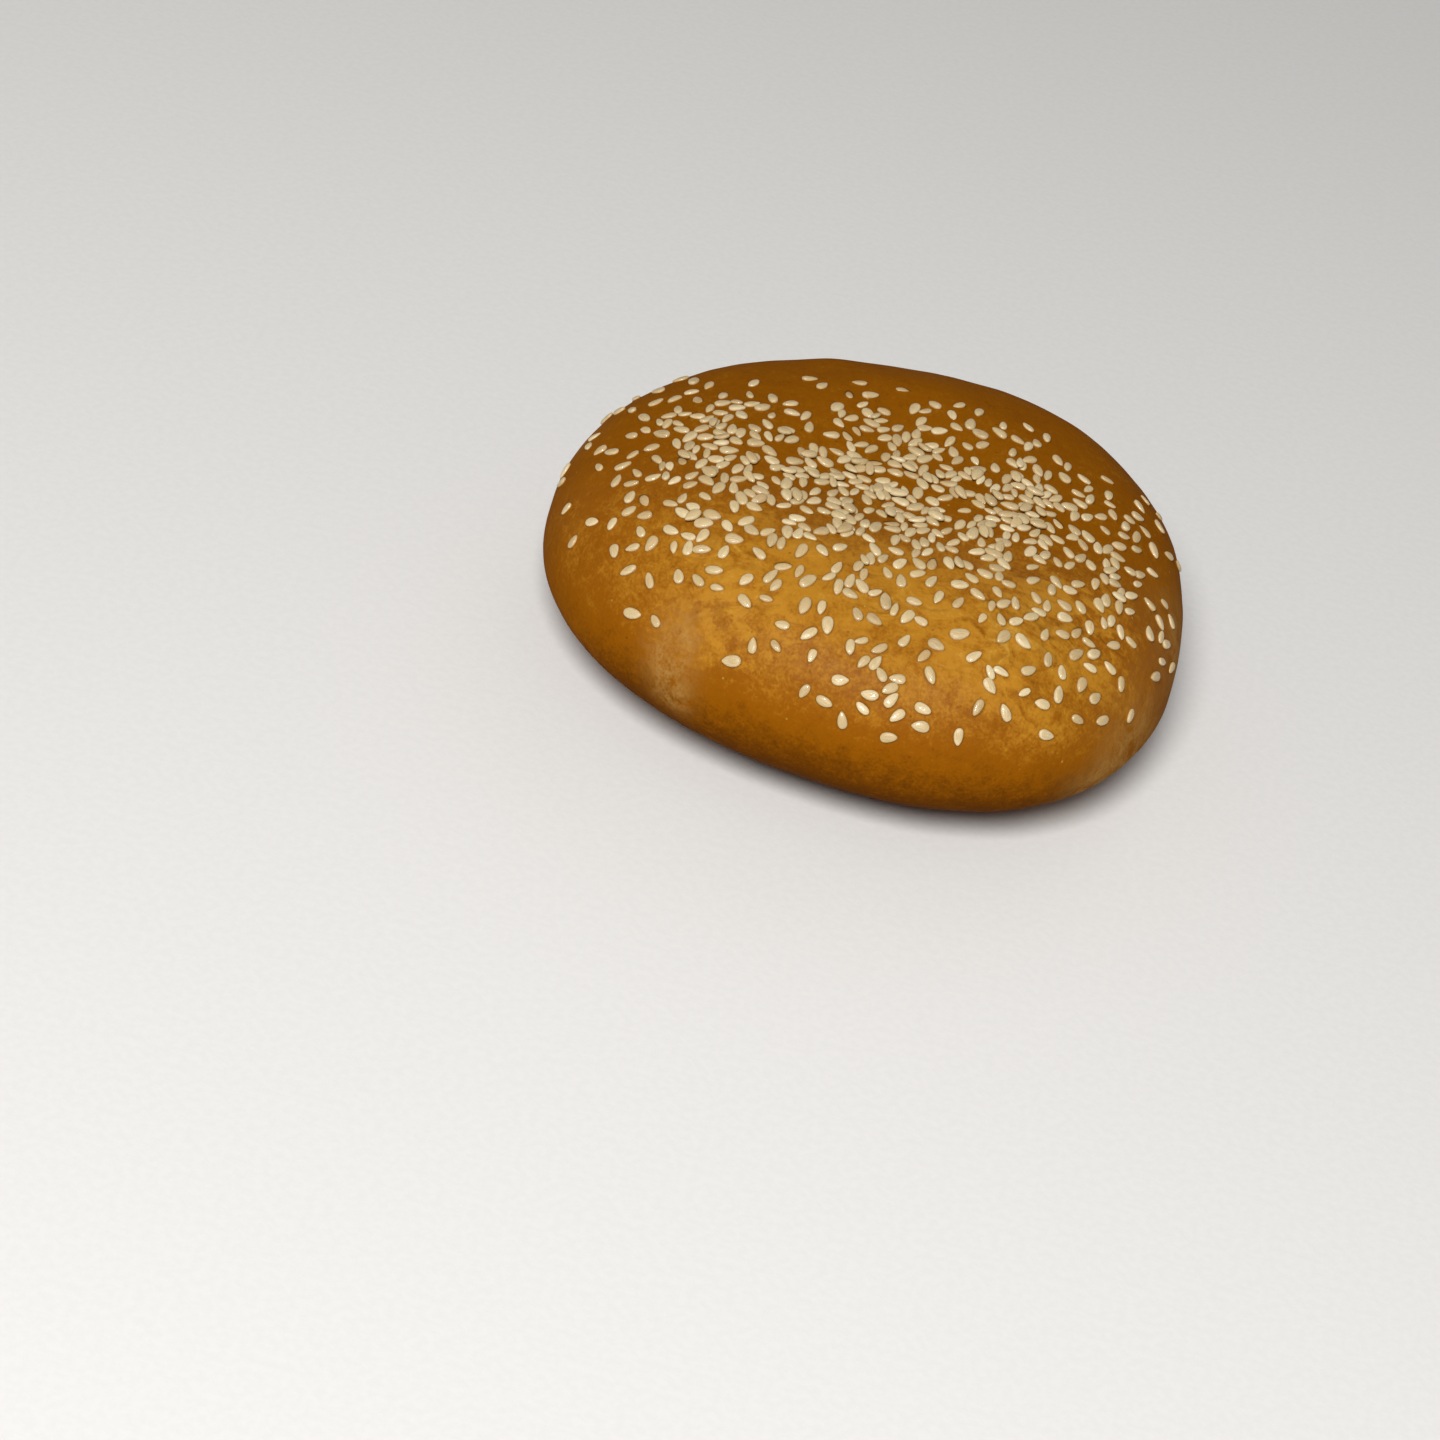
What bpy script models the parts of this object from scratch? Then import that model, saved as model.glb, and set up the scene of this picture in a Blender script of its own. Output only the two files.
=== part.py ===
"""Red bean mochi bun: a flat round bun of glazed dough, with white sesame seeds fused to its top.

The bun stands on its flat baked base at z = 0, with its middle on the z axis. +X is its longest
way, and -Y is the side where the seeds run furthest down. Everything is in metres.
"""

import math
import random
from collections import namedtuple

import bmesh
import bpy
from mathutils import Matrix, Vector, noise

# The bun's driving sizes
BELLY_RADIUS = 0.0505
HEIGHT = 0.0364
BELLY_HEIGHT = 0.0136
CROWN_FULLNESS = 2.4
UNDERSIDE_DEPTH = 0.0164
UNDERSIDE_FULLNESS = 2.0

# How the plan departs from a circle: (lobes, share of the radius, direction of the first lobe)
PLAN_LOBES = (
    (2, 0.022, math.radians(5.0)),
    (3, 0.032, math.radians(65.5)),
    (4, 0.015, math.radians(43.5)),
)

# The hollow in the crown, and the soft unevenness of the dough
HOLLOW_DEPTH = 0.0026
HOLLOW_RADIUS = 0.019
UNEVENNESS = 0.0007
UNEVEN_SPACING = 0.017
RELIEF_BLEND = 2.0

# Swellings of the crown: (x, y, radius, height)
SWELLINGS = (
    (-0.0115, -0.0240, 0.0050, 0.00055),
    (0.0210, -0.0330, 0.0110, 0.00060),
    (0.0330, -0.0160, 0.0100, 0.00050),
    (-0.0300, -0.0180, 0.0120, 0.00050),
    (-0.0160, 0.0350, 0.0040, 0.00045),
    (0.0100, 0.0280, 0.0120, 0.00050),
)

# The crust's mesh
CAGE_CUTS = 11
SNAP_TO_BASE = 0.0003

# The sesame seeds
SEED_COUNT = 595
FUSED_SEEDS = 275
SEED_LENGTH = 0.00275
SEED_LENGTH_SPREAD = 0.09
SEED_WIDTH_SHARE = 0.57
SEED_RISE_SHARE = 0.21
SEED_SINK = 0.00045
SEED_CORNERS = 6
SEED_TAPER = 0.26
SEED_FOOT_SHARE = 1.20
SEED_TOP_SHARE = 0.68
SEED_GAP = 0.00006
LONE_SEED_GAP = 0.0007
NEAR_SEEDS = 0.004
STACKED_CHANCE = 0.6
STACKED_SPACING = 0.0012

# The handfuls that the seeds fell in: (x, y, spread, seeds)
HANDFULS = (
    (-0.004, -0.016, 0.013, 190),
    (0.023, 0.004, 0.010, 135),
    (-0.028, 0.001, 0.008, 75),
    (0.027, -0.025, 0.009, 60),
    (0.000, 0.010, 0.007, 50),
    (-0.029, -0.019, 0.008, 45),
    (0.006, -0.041, 0.005, 20),
    (0.039, -0.010, 0.006, 20),
)

# Their highest density in seeds per square metre, and where they end at the back
HIGHEST_DENSITY = 223_000.0
BACK_LIMIT_Y = 0.0225
BACK_FADE = 0.0012

# How the seeds are dropped
HIGHEST_SEED_POLAR = math.radians(0.8)
LOWEST_SEED_POLAR = math.radians(75.0)
LARGEST_AREA_SHARE = 1.6
NORMAL_STEP = 0.01
RANDOM_SEED = 105

# The plain finishes
SHARP_EDGE = math.radians(28.0)
CRUST_ROUGHNESS = 0.45
SESAME_ROUGHNESS = 0.40
CRUST_COLOUR = (0.335, 0.130, 0.014, 1.0)
SESAME_COLOUR = (0.640, 0.500, 0.300, 1.0)

Seed = namedtuple("Seed", "point normal long_way length stacked")


def clear_scene():
    """Remove every object that the scene starts with."""
    for thing in list(bpy.data.objects):
        bpy.data.objects.remove(thing, do_unlink=True)


def add_collection(name):
    """Make a collection in the scene."""
    made = bpy.data.collections.new(name)
    bpy.context.scene.collection.children.link(made)
    return made


def add_material(name, colour, roughness):
    """Make a plain material with one colour and roughness."""
    material = bpy.data.materials.new(name)
    material.use_nodes = True
    shader = material.node_tree.nodes["Principled BSDF"]
    shader.inputs["Base Color"].default_value = colour
    shader.inputs["Roughness"].default_value = roughness
    shader.inputs["Metallic"].default_value = 0.0
    material.diffuse_color = colour
    return material


def plan_radius(angle):
    """The belly's radius in the plan direction of this angle."""
    share = 1.0
    for lobes, amount, direction in PLAN_LOBES:
        share += amount * math.cos(lobes * (angle - direction))
    return BELLY_RADIUS * share


def plan_offset():
    """How far the lobed plan's box lies off the axis, in x and y."""
    angles = [math.radians(step / 4) for step in range(1440)]
    xs = [plan_radius(angle) * math.cos(angle) for angle in angles]
    ys = [plan_radius(angle) * math.sin(angle) for angle in angles]
    return (max(xs) + min(xs)) / 2, (max(ys) + min(ys)) / 2


OFFSET_X, OFFSET_Y = plan_offset()


def crown_relief(x, y):
    """How far the crown at this plan point rises above its smooth dome."""
    rise = -HOLLOW_DEPTH * math.exp(-(x * x + y * y) / HOLLOW_RADIUS**2)
    for centre_x, centre_y, radius, height in SWELLINGS:
        away = math.hypot(x - centre_x, y - centre_y) / radius
        rise += height * math.exp(-away * away)
    place = Vector((x, y, 0.0)) / UNEVEN_SPACING
    return rise + UNEVENNESS * noise.noise(place)


def crust_point(direction):
    """The point of the crust that this unit direction from the belly's middle reaches."""
    across = math.hypot(direction.x, direction.y)
    upper = direction.z > 0.0
    fullness = CROWN_FULLNESS if upper else UNDERSIDE_FULLNESS
    depth = HEIGHT - BELLY_HEIGHT if upper else UNDERSIDE_DEPTH
    reach = (across**fullness + abs(direction.z) ** fullness) ** (-1.0 / fullness)
    radius = reach * plan_radius(math.atan2(direction.y, direction.x))
    x = radius * direction.x
    y = radius * direction.y
    z = BELLY_HEIGHT + reach * direction.z * depth
    if upper:
        z += crown_relief(x, y) * min(1.0, RELIEF_BLEND * reach * direction.z)
    return Vector((x - OFFSET_X, y - OFFSET_Y, z))


def polar_direction(polar, angle):
    """The unit direction at this polar angle from the top and this plan angle."""
    return Vector((
        math.sin(polar) * math.cos(angle),
        math.sin(polar) * math.sin(angle),
        math.cos(polar),
    ))


def crust_normal(polar, angle):
    """The crust's outward normal, and the plan area that one unit of solid angle covers there."""
    step = NORMAL_STEP
    point = crust_point(polar_direction(polar, angle))
    down = crust_point(polar_direction(polar + step, angle)) - point
    along = crust_point(polar_direction(polar, angle + step / math.sin(polar))) - point
    normal = down.cross(along)
    return normal.normalized(), normal.z / step**2


def seed_density(x, y):
    """The seed density at this plan point, as a share of the highest."""
    density = 0.0
    for centre_x, centre_y, spread, seeds in HANDFULS:
        away = math.hypot(x - centre_x, y - centre_y) / spread
        density += seeds / (2.0 * math.pi * spread**2) * math.exp(-away * away / 2.0)
    return density / HIGHEST_DENSITY / (1.0 + math.exp((y - BACK_LIMIT_Y) / BACK_FADE))


def spine(seed):
    """Three points along a seed's middle line, inside its outline."""
    reach = seed.long_way * (seed.length * (1.0 - SEED_WIDTH_SHARE) / 2.0)
    return seed.point - reach, seed.point, seed.point + reach


def gap_between(one, other):
    """How far apart two seeds' outlines are, or how far they overlap when it is negative."""
    nearest = min((start - end).length for start in spine(one) for end in spine(other))
    return nearest - SEED_WIDTH_SHARE * (one.length + other.length) / 2.0


def fallen_seed(draw, point, normal):
    """A seed of a random size and heading at this point of the crust."""
    side = normal.orthogonal().normalized()
    long_way = Matrix.Rotation(draw.uniform(-math.pi, math.pi), 3, normal) @ side
    size = max(-2.0, min(2.0, draw.gauss(0.0, 1.0)))
    return Seed(point, normal, long_way, SEED_LENGTH * (1.0 + SEED_LENGTH_SPREAD * size), False)


def sprinkle_seeds():
    """Drop the seeds one by one, mostly clear of those before and well clear where they are few."""
    draw = random.Random(RANDOM_SEED)
    seeds = []
    while len(seeds) < SEED_COUNT:
        polar = math.acos(draw.uniform(math.cos(LOWEST_SEED_POLAR), math.cos(HIGHEST_SEED_POLAR)))
        angle = draw.uniform(-math.pi, math.pi)
        point = crust_point(polar_direction(polar, angle))
        normal, area = crust_normal(polar, angle)
        share = seed_density(point.x, point.y)
        if draw.random() > share * area / (LARGEST_AREA_SHARE * BELLY_RADIUS**2):
            continue
        seed = fallen_seed(draw, point, normal)
        near = [other for other in seeds if (other.point - point).length < NEAR_SEEDS]
        clear = SEED_GAP + LONE_SEED_GAP * (1.0 - share) ** 2
        if all(gap_between(seed, other) > clear for other in near):
            seeds.append(seed)
            continue
        spacing = min((other.point - point).length for other in near)
        if spacing > STACKED_SPACING and draw.random() < STACKED_CHANCE * share**2:
            seeds.append(seed._replace(stacked=True))
    return seeds


def seeds_to_fuse(seeds):
    """The largest of the seeds that lie flat on the crust, as far as the count allows."""
    flat = [seed for seed in seeds if not seed.stacked]
    return sorted(flat, key=lambda seed: -seed.length)[:FUSED_SEEDS]


def seed_mesh(material):
    """A low teardrop-shaped stump of unit size, its foot on the origin and its tip towards +X."""
    form = bmesh.new()
    bmesh.ops.create_cone(
        form,
        segments=SEED_CORNERS,
        radius1=0.5 * SEED_FOOT_SHARE,
        radius2=0.5 * SEED_TOP_SHARE,
        depth=1.0,
        cap_ends=True,
        matrix=Matrix.Translation((0.0, 0.0, 0.5)) @ Matrix.Rotation(-math.pi / 2.0, 4, "Z"),
    )
    for vertex in form.verts:
        vertex.co.y *= SEED_WIDTH_SHARE * (1.0 - 2.0 * SEED_TAPER * vertex.co.x)
    mesh = bpy.data.meshes.new("sesame_seed")
    form.to_mesh(mesh)
    form.free()
    mesh.materials.append(material)
    return mesh


def place_seed(mesh, seed, collection):
    """Lay one seed on the crust, its foot sunk in it."""
    turn = Matrix((seed.long_way, seed.normal.cross(seed.long_way), seed.normal)).transposed()
    depth = SEED_RISE_SHARE * seed.length + SEED_SINK
    size = Matrix.Diagonal((seed.length, seed.length, depth, 1.0))
    thing = bpy.data.objects.new("seed", mesh)
    foot = Matrix.Translation(seed.point - seed.normal * SEED_SINK)
    thing.matrix_world = foot @ turn.to_4x4() @ size
    collection.objects.link(thing)


def make_crust(material, collection):
    """The bun's body: a cube's cage, rounded to the bun's form and cut flat at the base."""
    form = bmesh.new()
    bmesh.ops.create_cube(form, size=2.0)
    bmesh.ops.subdivide_edges(form, edges=form.edges, cuts=CAGE_CUTS, use_grid_fill=True)
    for vertex in form.verts:
        even = Vector([math.tan(side * math.pi / 4.0) for side in vertex.co])
        vertex.co = crust_point(even.normalized())
        if abs(vertex.co.z) < SNAP_TO_BASE:
            vertex.co.z = 0.0
    whole = form.verts[:] + form.edges[:] + form.faces[:]
    bmesh.ops.bisect_plane(form, geom=whole, plane_co=(0, 0, 0), plane_no=(0, 0, 1), clear_inner=True)
    bmesh.ops.holes_fill(form, edges=[edge for edge in form.edges if edge.is_boundary])
    bmesh.ops.remove_doubles(form, verts=form.verts, dist=SNAP_TO_BASE)
    bmesh.ops.recalc_face_normals(form, faces=form.faces)
    mesh = bpy.data.meshes.new("bun")
    form.to_mesh(mesh)
    form.free()
    mesh.materials.append(material)
    crust = bpy.data.objects.new("bun", mesh)
    collection.objects.link(crust)
    return crust


def fuse(body, pieces):
    """Join every piece of a collection to the body as one solid, and remove the pieces."""
    union = body.modifiers.new("fused_pieces", "BOOLEAN")
    union.operation = "UNION"
    union.operand_type = "COLLECTION"
    union.collection = pieces
    union.solver = "EXACT"
    union.material_mode = "TRANSFER"
    bpy.context.view_layer.objects.active = body
    bpy.ops.object.modifier_apply(modifier=union.name)
    for piece in list(pieces.objects):
        bpy.data.objects.remove(piece, do_unlink=True)
    bpy.data.collections.remove(pieces)


def main():
    """Build the bun."""
    clear_scene()
    bun_parts = add_collection("red_bean_mochi_bun")
    loose_seeds = add_collection("loose_seeds")
    crust_material = add_material("glazed_crust", CRUST_COLOUR, CRUST_ROUGHNESS)
    sesame_material = add_material("white_sesame", SESAME_COLOUR, SESAME_ROUGHNESS)
    bun = make_crust(crust_material, bun_parts)
    mesh = seed_mesh(sesame_material)
    for seed in seeds_to_fuse(sprinkle_seeds()):
        place_seed(mesh, seed, loose_seeds)
    fuse(bun, loose_seeds)
    bun.data.shade_smooth()
    bun.data.set_sharp_from_angle(angle=SHARP_EDGE)


main()
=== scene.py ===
"""Looks of the red bean mochi bun: an egg-washed crust under white sesame seeds, on a plain floor.

The bun keeps the solid's form and frame: base on z = 0, +X along its longest way, and -Y the side
where the seeds run furthest down. Lengths are in metres, and names ending in _mm are in mm.
"""

import logging
import math
import random
from dataclasses import dataclass, field, replace
from enum import Enum
from itertools import product
from typing import Any, Mapping, Sequence

import bmesh
import bpy
import numpy as np
from mathutils import Matrix, Vector, noise
from mathutils.bvhtree import BVHTree


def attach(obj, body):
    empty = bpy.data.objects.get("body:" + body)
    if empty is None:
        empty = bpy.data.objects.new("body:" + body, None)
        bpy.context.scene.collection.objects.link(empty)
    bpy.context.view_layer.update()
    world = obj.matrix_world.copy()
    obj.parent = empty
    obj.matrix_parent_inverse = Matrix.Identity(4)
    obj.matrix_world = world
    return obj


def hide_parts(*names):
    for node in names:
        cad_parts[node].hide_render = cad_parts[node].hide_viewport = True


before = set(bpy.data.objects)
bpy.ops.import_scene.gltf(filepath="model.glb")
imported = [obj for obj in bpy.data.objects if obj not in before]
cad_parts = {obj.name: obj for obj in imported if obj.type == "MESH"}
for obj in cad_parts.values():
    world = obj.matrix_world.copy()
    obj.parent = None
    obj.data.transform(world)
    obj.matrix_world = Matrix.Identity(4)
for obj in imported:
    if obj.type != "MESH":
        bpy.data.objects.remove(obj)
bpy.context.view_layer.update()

logging.basicConfig(level=logging.INFO, format="%(message)s")
LOG = logging.getLogger("bun")

MM = 0.001

# The way that the skin's fine creases run, in plan.
CREASE_HEADING = math.radians(38.0)

Socket = bpy.types.NodeSocket


class Settling(Enum):
    """How a seed came to rest."""

    FLAT = "flat on the crust"
    STACKED = "leaning on other seeds"
    SUNK = "drawn into the egg wash"


class CrustMap(Enum):
    """The values painted on the crust's mesh for its finish."""

    BAKE = "bake_and_painted_light"
    WASH = "wash"
    GLAZE_AND_SHADE = "glaze_and_shade"
    WRINKLE = "wrinkle"
    DUST_AND_REFLECTION = "dust_and_reflection"
    FOLD_SIDE = "fold_side"
    FOLD_SHARE = "fold_share"
    BASE = "base"


class SeedMap(Enum):
    """The values painted on the seeds' mesh for their finish."""

    TONE = "tone"
    SOAK_AND_SHADE = "soak_and_shade"
    TIP = "tip"
    PLACE = "place"


def linear(hex_colour: str) -> tuple[float, float, float, float]:
    """Turn an sRGB hex colour to the linear one that the shaders take.

    Args:
        hex_colour: The colour as #rrggbb.

    Returns:
        Red, green, blue and an alpha of 1.
    """
    shares = [int(hex_colour[place : place + 2], 16) / 255.0 for place in (1, 3, 5)]
    red, green, blue = (s / 12.92 if s <= 0.04045 else ((s + 0.055) / 1.055) ** 2.4 for s in shares)
    return red, green, blue, 1.0


def per_spacing(spacing_mm: float) -> float:
    """Return the texture scale of a pattern with this spacing, on coordinates in metres."""
    return 1.0 / (spacing_mm * MM)


def smooth_step(value: float, start: float, end: float) -> float:
    """Return 0 up to the start, 1 past the end, which may be the lower one, and a smooth change."""
    share = max(0.0, min(1.0, (value - start) / (end - start)))
    return share * share * (3.0 - 2.0 * share)


class Graph:
    """A material's nodes."""

    def __init__(self, name: str) -> None:
        """Start a material with no nodes.

        Args:
            name: Its name.
        """
        self.material = bpy.data.materials.new(name)
        self.material.use_nodes = True
        self.tree = self.material.node_tree
        self.tree.nodes.clear()

    def add(
        self,
        kind: str,
        inputs: Mapping[str, Any],
        output: int | str = 0,
        stops: Sequence[tuple[float, str]] = (),
        **settings: Any,
    ) -> Socket | None:
        """Add one node with its settings, values and links.

        Args:
            kind: The node's type, without its prefix.
            inputs: A value or a socket for each input, by the input's name or identifier.
            output: The output to return, by number or name.
            stops: A colour ramp's positions and hex colours.
            settings: The node's own properties.

        Returns:
            The output's socket, or nothing for the material's output node.
        """
        node = self.tree.nodes.new("ShaderNode" + kind)
        for name, setting in settings.items():
            setattr(node, name, setting)
        sockets = {socket.name: socket for socket in reversed(node.inputs) if socket.enabled}
        sockets.update({socket.identifier: socket for socket in node.inputs})
        for name, value in inputs.items():
            if isinstance(value, Socket):
                self.tree.links.new(value, sockets[name])
            else:
                sockets[name].default_value = value
        if stops:
            ramp = node.color_ramp
            ramp.interpolation = "EASE"
            while len(ramp.elements) < len(stops):
                ramp.elements.new(1.0)
            for element, (position, colour) in zip(ramp.elements, stops):
                element.position = position
                element.color = linear(colour)
        return node.outputs[output] if len(node.outputs) else None

    def weighted_sum(self, terms: Sequence[tuple[Socket, float]]) -> Socket:
        """Add up patterns, each times its weight.

        Args:
            terms: Each pattern and its weight.

        Returns:
            The sum.
        """
        total: Any = 0.0
        for pattern, weight in terms:
            inputs = {"Value": pattern, "Value_001": weight, "Value_002": total}
            total = self.add("Math", inputs, operation="MULTIPLY_ADD")
        return total

    def layered(self, under: Socket, layers: Sequence[tuple[Socket, float, str]]) -> Socket:
        """Lay colours over one another.

        Args:
            under: The lowest colour.
            layers: Each layer's cover, the strength of it and its hex colour.

        Returns:
            The colour.
        """
        for cover, strength, shade in layers:
            share = self.add("Math", {"Value": cover, "Value_001": strength}, operation="MULTIPLY")
            inputs = {"Factor_Float": share, "A_Color": under, "B_Color": linear(shade)}
            under = self.add("Mix", inputs, 2, data_type="RGBA")
        return under


@dataclass(frozen=True)
class EggWashedCrust:
    """Soft wheat dough, brushed with egg wash and baked golden brown.

    The wash lies on the crown only and gives it a broad satin sheen, while the bare walls are matt.
    It pools amber round the seeds, and that amber is also painted contact shade round them. Fat and
    sugar brown unevenly, so the skin is mottled like leather, and it creases finely where the dough
    sagged at the shoulder. Painted light lies in the colour too: shade in the creases, the folds, low
    on the walls and between the crowded seeds, highlights on the folds' ridges and the near shoulder,
    and the floor's reflection low on the side walls.

    Attributes:
        palest: The skin where it browned least, and its pimples.
        golden: The skin's lighter brown.
        brown: The skin's fuller brown.
        darkest: The skin where it browned most, and its pores.
        amber: The pooled egg wash, also painted round the seeds' feet and between the crowded seeds
            as painted contact shade.
        painted_crease_shade: The painted shade at the bottom of a fine crease.
        dust_and_reflection_tint: The pale spots: a floury dusting on the near left wall, and painted
            reflection of the floor low on the side walls.
        base_shade: The dry base, as the tray leaves it.
        cloud_mm: The spacing of the broad patches of browning.
        blotch_mm: The spacing of the smaller patches.
        mottle_mm: The spacing of the mottling.
        grain_mm: The spacing of the skin's grain, drawn coarser than the real one so that it shows.
        fibre_mm: The spacing of the streaks that the stretched dough shows.
        crease_mm: The spacing of the fine creases.
        wander_mm: The length over which a crease changes its way.
        wander_reach_mm: How far it wanders.
        gap_mm: The spacing of the gaps along the creases.
        leather_mm: The spacing of the patches of dried skin.
        fold_wander_mm: How far a fold wanders with the mottling.
        fold_section_mm: Where a fold's section starts and ends, across it.
        pore_mm: The spacing of the pores.
        pore_share: A pore's radius over that spacing.
        pimple_mm: The spacing of the pimples.
        pimple_share: A pimple's radius over that spacing.
        relief_mm: The height of the relief.
        bare_roughness: The roughness without wash, before the mottling lowers it.
        bare_sheen: The specular level without wash.
        washed_sheen: The specular level under the wash.
    """

    palest: str = "#bd9038"
    golden: str = "#a8721c"
    brown: str = "#834b03"
    darkest: str = "#5c3102"
    amber: str = "#6a4204"
    # Painted shade in the fine creases.
    painted_crease_shade: str = "#6f3f04"
    # The pale spots' colour: floury dusting and painted reflection of the floor.
    dust_and_reflection_tint: str = "#ad8445"
    base_shade: str = "#7a4c1e"
    cloud_mm: float = 12.0
    blotch_mm: float = 4.2
    mottle_mm: float = 1.7
    grain_mm: float = 0.45
    fibre_mm: float = 0.6
    crease_mm: float = 4.6
    wander_mm: float = 5.0
    wander_reach_mm: float = 4.2
    gap_mm: float = 6.0
    leather_mm: float = 3.6
    fold_wander_mm: float = 1.2
    fold_section_mm: tuple[float, float] = (-1.4, 2.6)
    pore_mm: float = 3.6
    pore_share: float = 0.085
    pimple_mm: float = 5.5
    pimple_share: float = 0.050
    relief_mm: float = 0.16
    bare_roughness: float = 0.93
    bare_sheen: float = 0.02
    washed_sheen: float = 0.11

    def material(self) -> bpy.types.Material:
        """Build the crust's material.

        Returns:
            The material, with colour, gloss and relief from the browning, the wash and the folds, and
            painted light in its colour.
        """
        graph = Graph("egg_washed_crust")
        place = graph.add("TexCoord", {}, "Object")
        maps = {
            kind: graph.add("Attribute", {}, "Fac", attribute_name=kind.value) for kind in CrustMap
        }
        cloud, blotch, mottle, grain, fibre = self.browning(graph, place)
        crease = self.creases(graph, place, maps[CrustMap.WRINKLE])
        fold = self.folds(graph, maps, mottle)
        leather = self.leathery(graph, place, maps[CrustMap.WRINKLE])
        pores = self.spots(graph, place, self.pore_mm, self.pore_share)
        pimples = self.spots(graph, place, self.pimple_mm, self.pimple_share)
        patterns = ((cloud, 0.20), (blotch, 0.24), (mottle, 0.24), (grain, 0.26), (fibre, 0.20))
        average = sum(weight for _, weight in patterns) / 2.0
        # The browning map also carries painted light: a painted highlight on the near shoulder and
        # painted shade low on the walls.
        inputs = {"Value": maps[CrustMap.BAKE], "Value_001": average}
        centred = graph.add("Math", inputs, operation="SUBTRACT")
        # Painted light: the folds darken the colour in their creases as painted shade and pale it on
        # their ridges as a painted highlight.
        darkness = graph.weighted_sum([(centred, 1.0), (fold, -0.50), (leather, -0.22), *patterns])
        baked = graph.add(
            "ValToRGB",
            {"Fac": darkness},
            stops=(
                (0.0, self.palest),
                (0.30, self.golden),
                (0.62, self.brown),
                (1.0, self.darkest),
            ),
        )
        # Pale spots: a floury dusting on the near left wall, and painted reflection of the floor low
        # on the side walls.
        pale_spot_texture = graph.weighted_sum(((blotch, 0.6), (grain, 0.4)))
        pale_spot_breakup = graph.add("MapRange", {"Value": pale_spot_texture, "From Min": 0.36, "From Max": 0.60})
        inputs = {"Value": maps[CrustMap.DUST_AND_REFLECTION], "Value_001": pale_spot_breakup}
        dust_and_reflection = graph.add("Math", inputs, operation="MULTIPLY")
        colour = graph.layered(
            baked,
            (
                # Pooled wash, with painted contact shade round the seeds and between the crowded
                # ones.
                (maps[CrustMap.GLAZE_AND_SHADE], 0.60, self.amber),
                # Painted shade: the fine creases are darkened in the colour.
                (crease, 0.36, self.painted_crease_shade),
                (pores, 0.45, self.darkest),
                (pimples, 0.50, self.palest),
                # Painted reflection of the floor and floury dusting in the pale spots.
                (dust_and_reflection, 0.60, self.dust_and_reflection_tint),
                (maps[CrustMap.BASE], 0.85, self.base_shade),
            ),
        )
        height = graph.weighted_sum((
            (blotch, 0.55),
            (mottle, 0.55),
            (grain, 0.30),
            (fibre, 0.26),
            (crease, -0.60),
            (fold, 1.5),
            (leather, 0.40),
            (pores, -0.4),
            (pimples, 0.5),
        ))
        bump = graph.add("Bump", {"Distance": self.relief_mm * MM, "Height": height})
        inputs = {
            "Value": maps[CrustMap.WASH],
            "To Min": self.bare_sheen,
            "To Max": self.washed_sheen,
        }
        sheen = graph.add("MapRange", inputs)
        gloss = graph.weighted_sum(((mottle, -0.20), (maps[CrustMap.WASH], -0.35), (pores, 0.1)))
        inputs = {"Value": gloss, "Value_001": self.bare_roughness}
        rough = graph.add("Math", inputs, operation="ADD")
        shader = graph.add(
            "BsdfPrincipled",
            {
                "Base Color": colour,
                "Roughness": rough,
                "Specular IOR Level": sheen,
                "Normal": bump,
                "IOR": 1.45,
            },
        )
        graph.add("OutputMaterial", {"Surface": shader})
        return graph.material

    def browning(self, graph: Graph, place: Socket) -> list[Socket]:
        """Add the uneven patterns that the skin browned in, from the broadest to the finest.

        Args:
            graph: The material's nodes.
            place: The surface's place.

        Returns:
            The cloud, blotch, mottle, grain and fibre, each of them near 0.5 on average.
        """
        even = (1.0, 1.0, 1.0)
        return [
            graph.add(
                "TexNoise",
                {
                    "Vector": graph.add("Mapping", {"Vector": place, "Scale": stretch}),
                    "Scale": per_spacing(spacing),
                    "Detail": detail,
                    "Roughness": 0.55,
                    "Distortion": distortion,
                },
            )
            for spacing, stretch, detail, distortion in (
                (self.cloud_mm, even, 2.0, 0.4),
                (self.blotch_mm, even, 3.0, 1.2),
                (self.mottle_mm, even, 3.0, 0.8),
                (self.grain_mm, even, 2.0, 0.0),
                (self.fibre_mm, (0.9, 0.3, 1.0), 2.0, 0.5),
            )
        ]

    def creases(self, graph: Graph, place: Socket, mask: Socket) -> Socket:
        """Add the fine creases of the skin, long and branching.

        Args:
            graph: The material's nodes.
            place: The surface's place.
            mask: Where the skin is creased, from 0 to 1.

        Returns:
            1 in the middle of a crease and 0 away from it.
        """
        turned = graph.add(
            "Mapping",
            {"Vector": place, "Rotation": (0.0, 0.0, CREASE_HEADING), "Scale": (0.4, 1.0, 0.8)},
        )
        inputs = {"Vector": place, "Scale": per_spacing(self.wander_mm), "Detail": 2.0}
        wander = graph.add("TexNoise", inputs, "Color")
        reach = (self.wander_reach_mm * MM,) * 3
        inputs = {"Vector": wander, "Vector_001": reach, "Vector_002": turned}
        shifted = graph.add("VectorMath", inputs, operation="MULTIPLY_ADD")
        cells = graph.add(
            "TexVoronoi",
            {"Vector": shifted, "Scale": per_spacing(self.crease_mm)},
            feature="DISTANCE_TO_EDGE",
        )
        line = graph.add(
            "MapRange",
            {"Value": cells, "From Min": 0.0, "From Max": 0.11, "To Min": 1.0, "To Max": 0.0},
            interpolation_type="SMOOTHSTEP",
        )
        gaps = graph.add("TexNoise", {"Vector": place, "Scale": per_spacing(self.gap_mm)})
        broken = graph.add("MapRange", {"Value": gaps, "From Min": 0.40, "From Max": 0.60})
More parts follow.
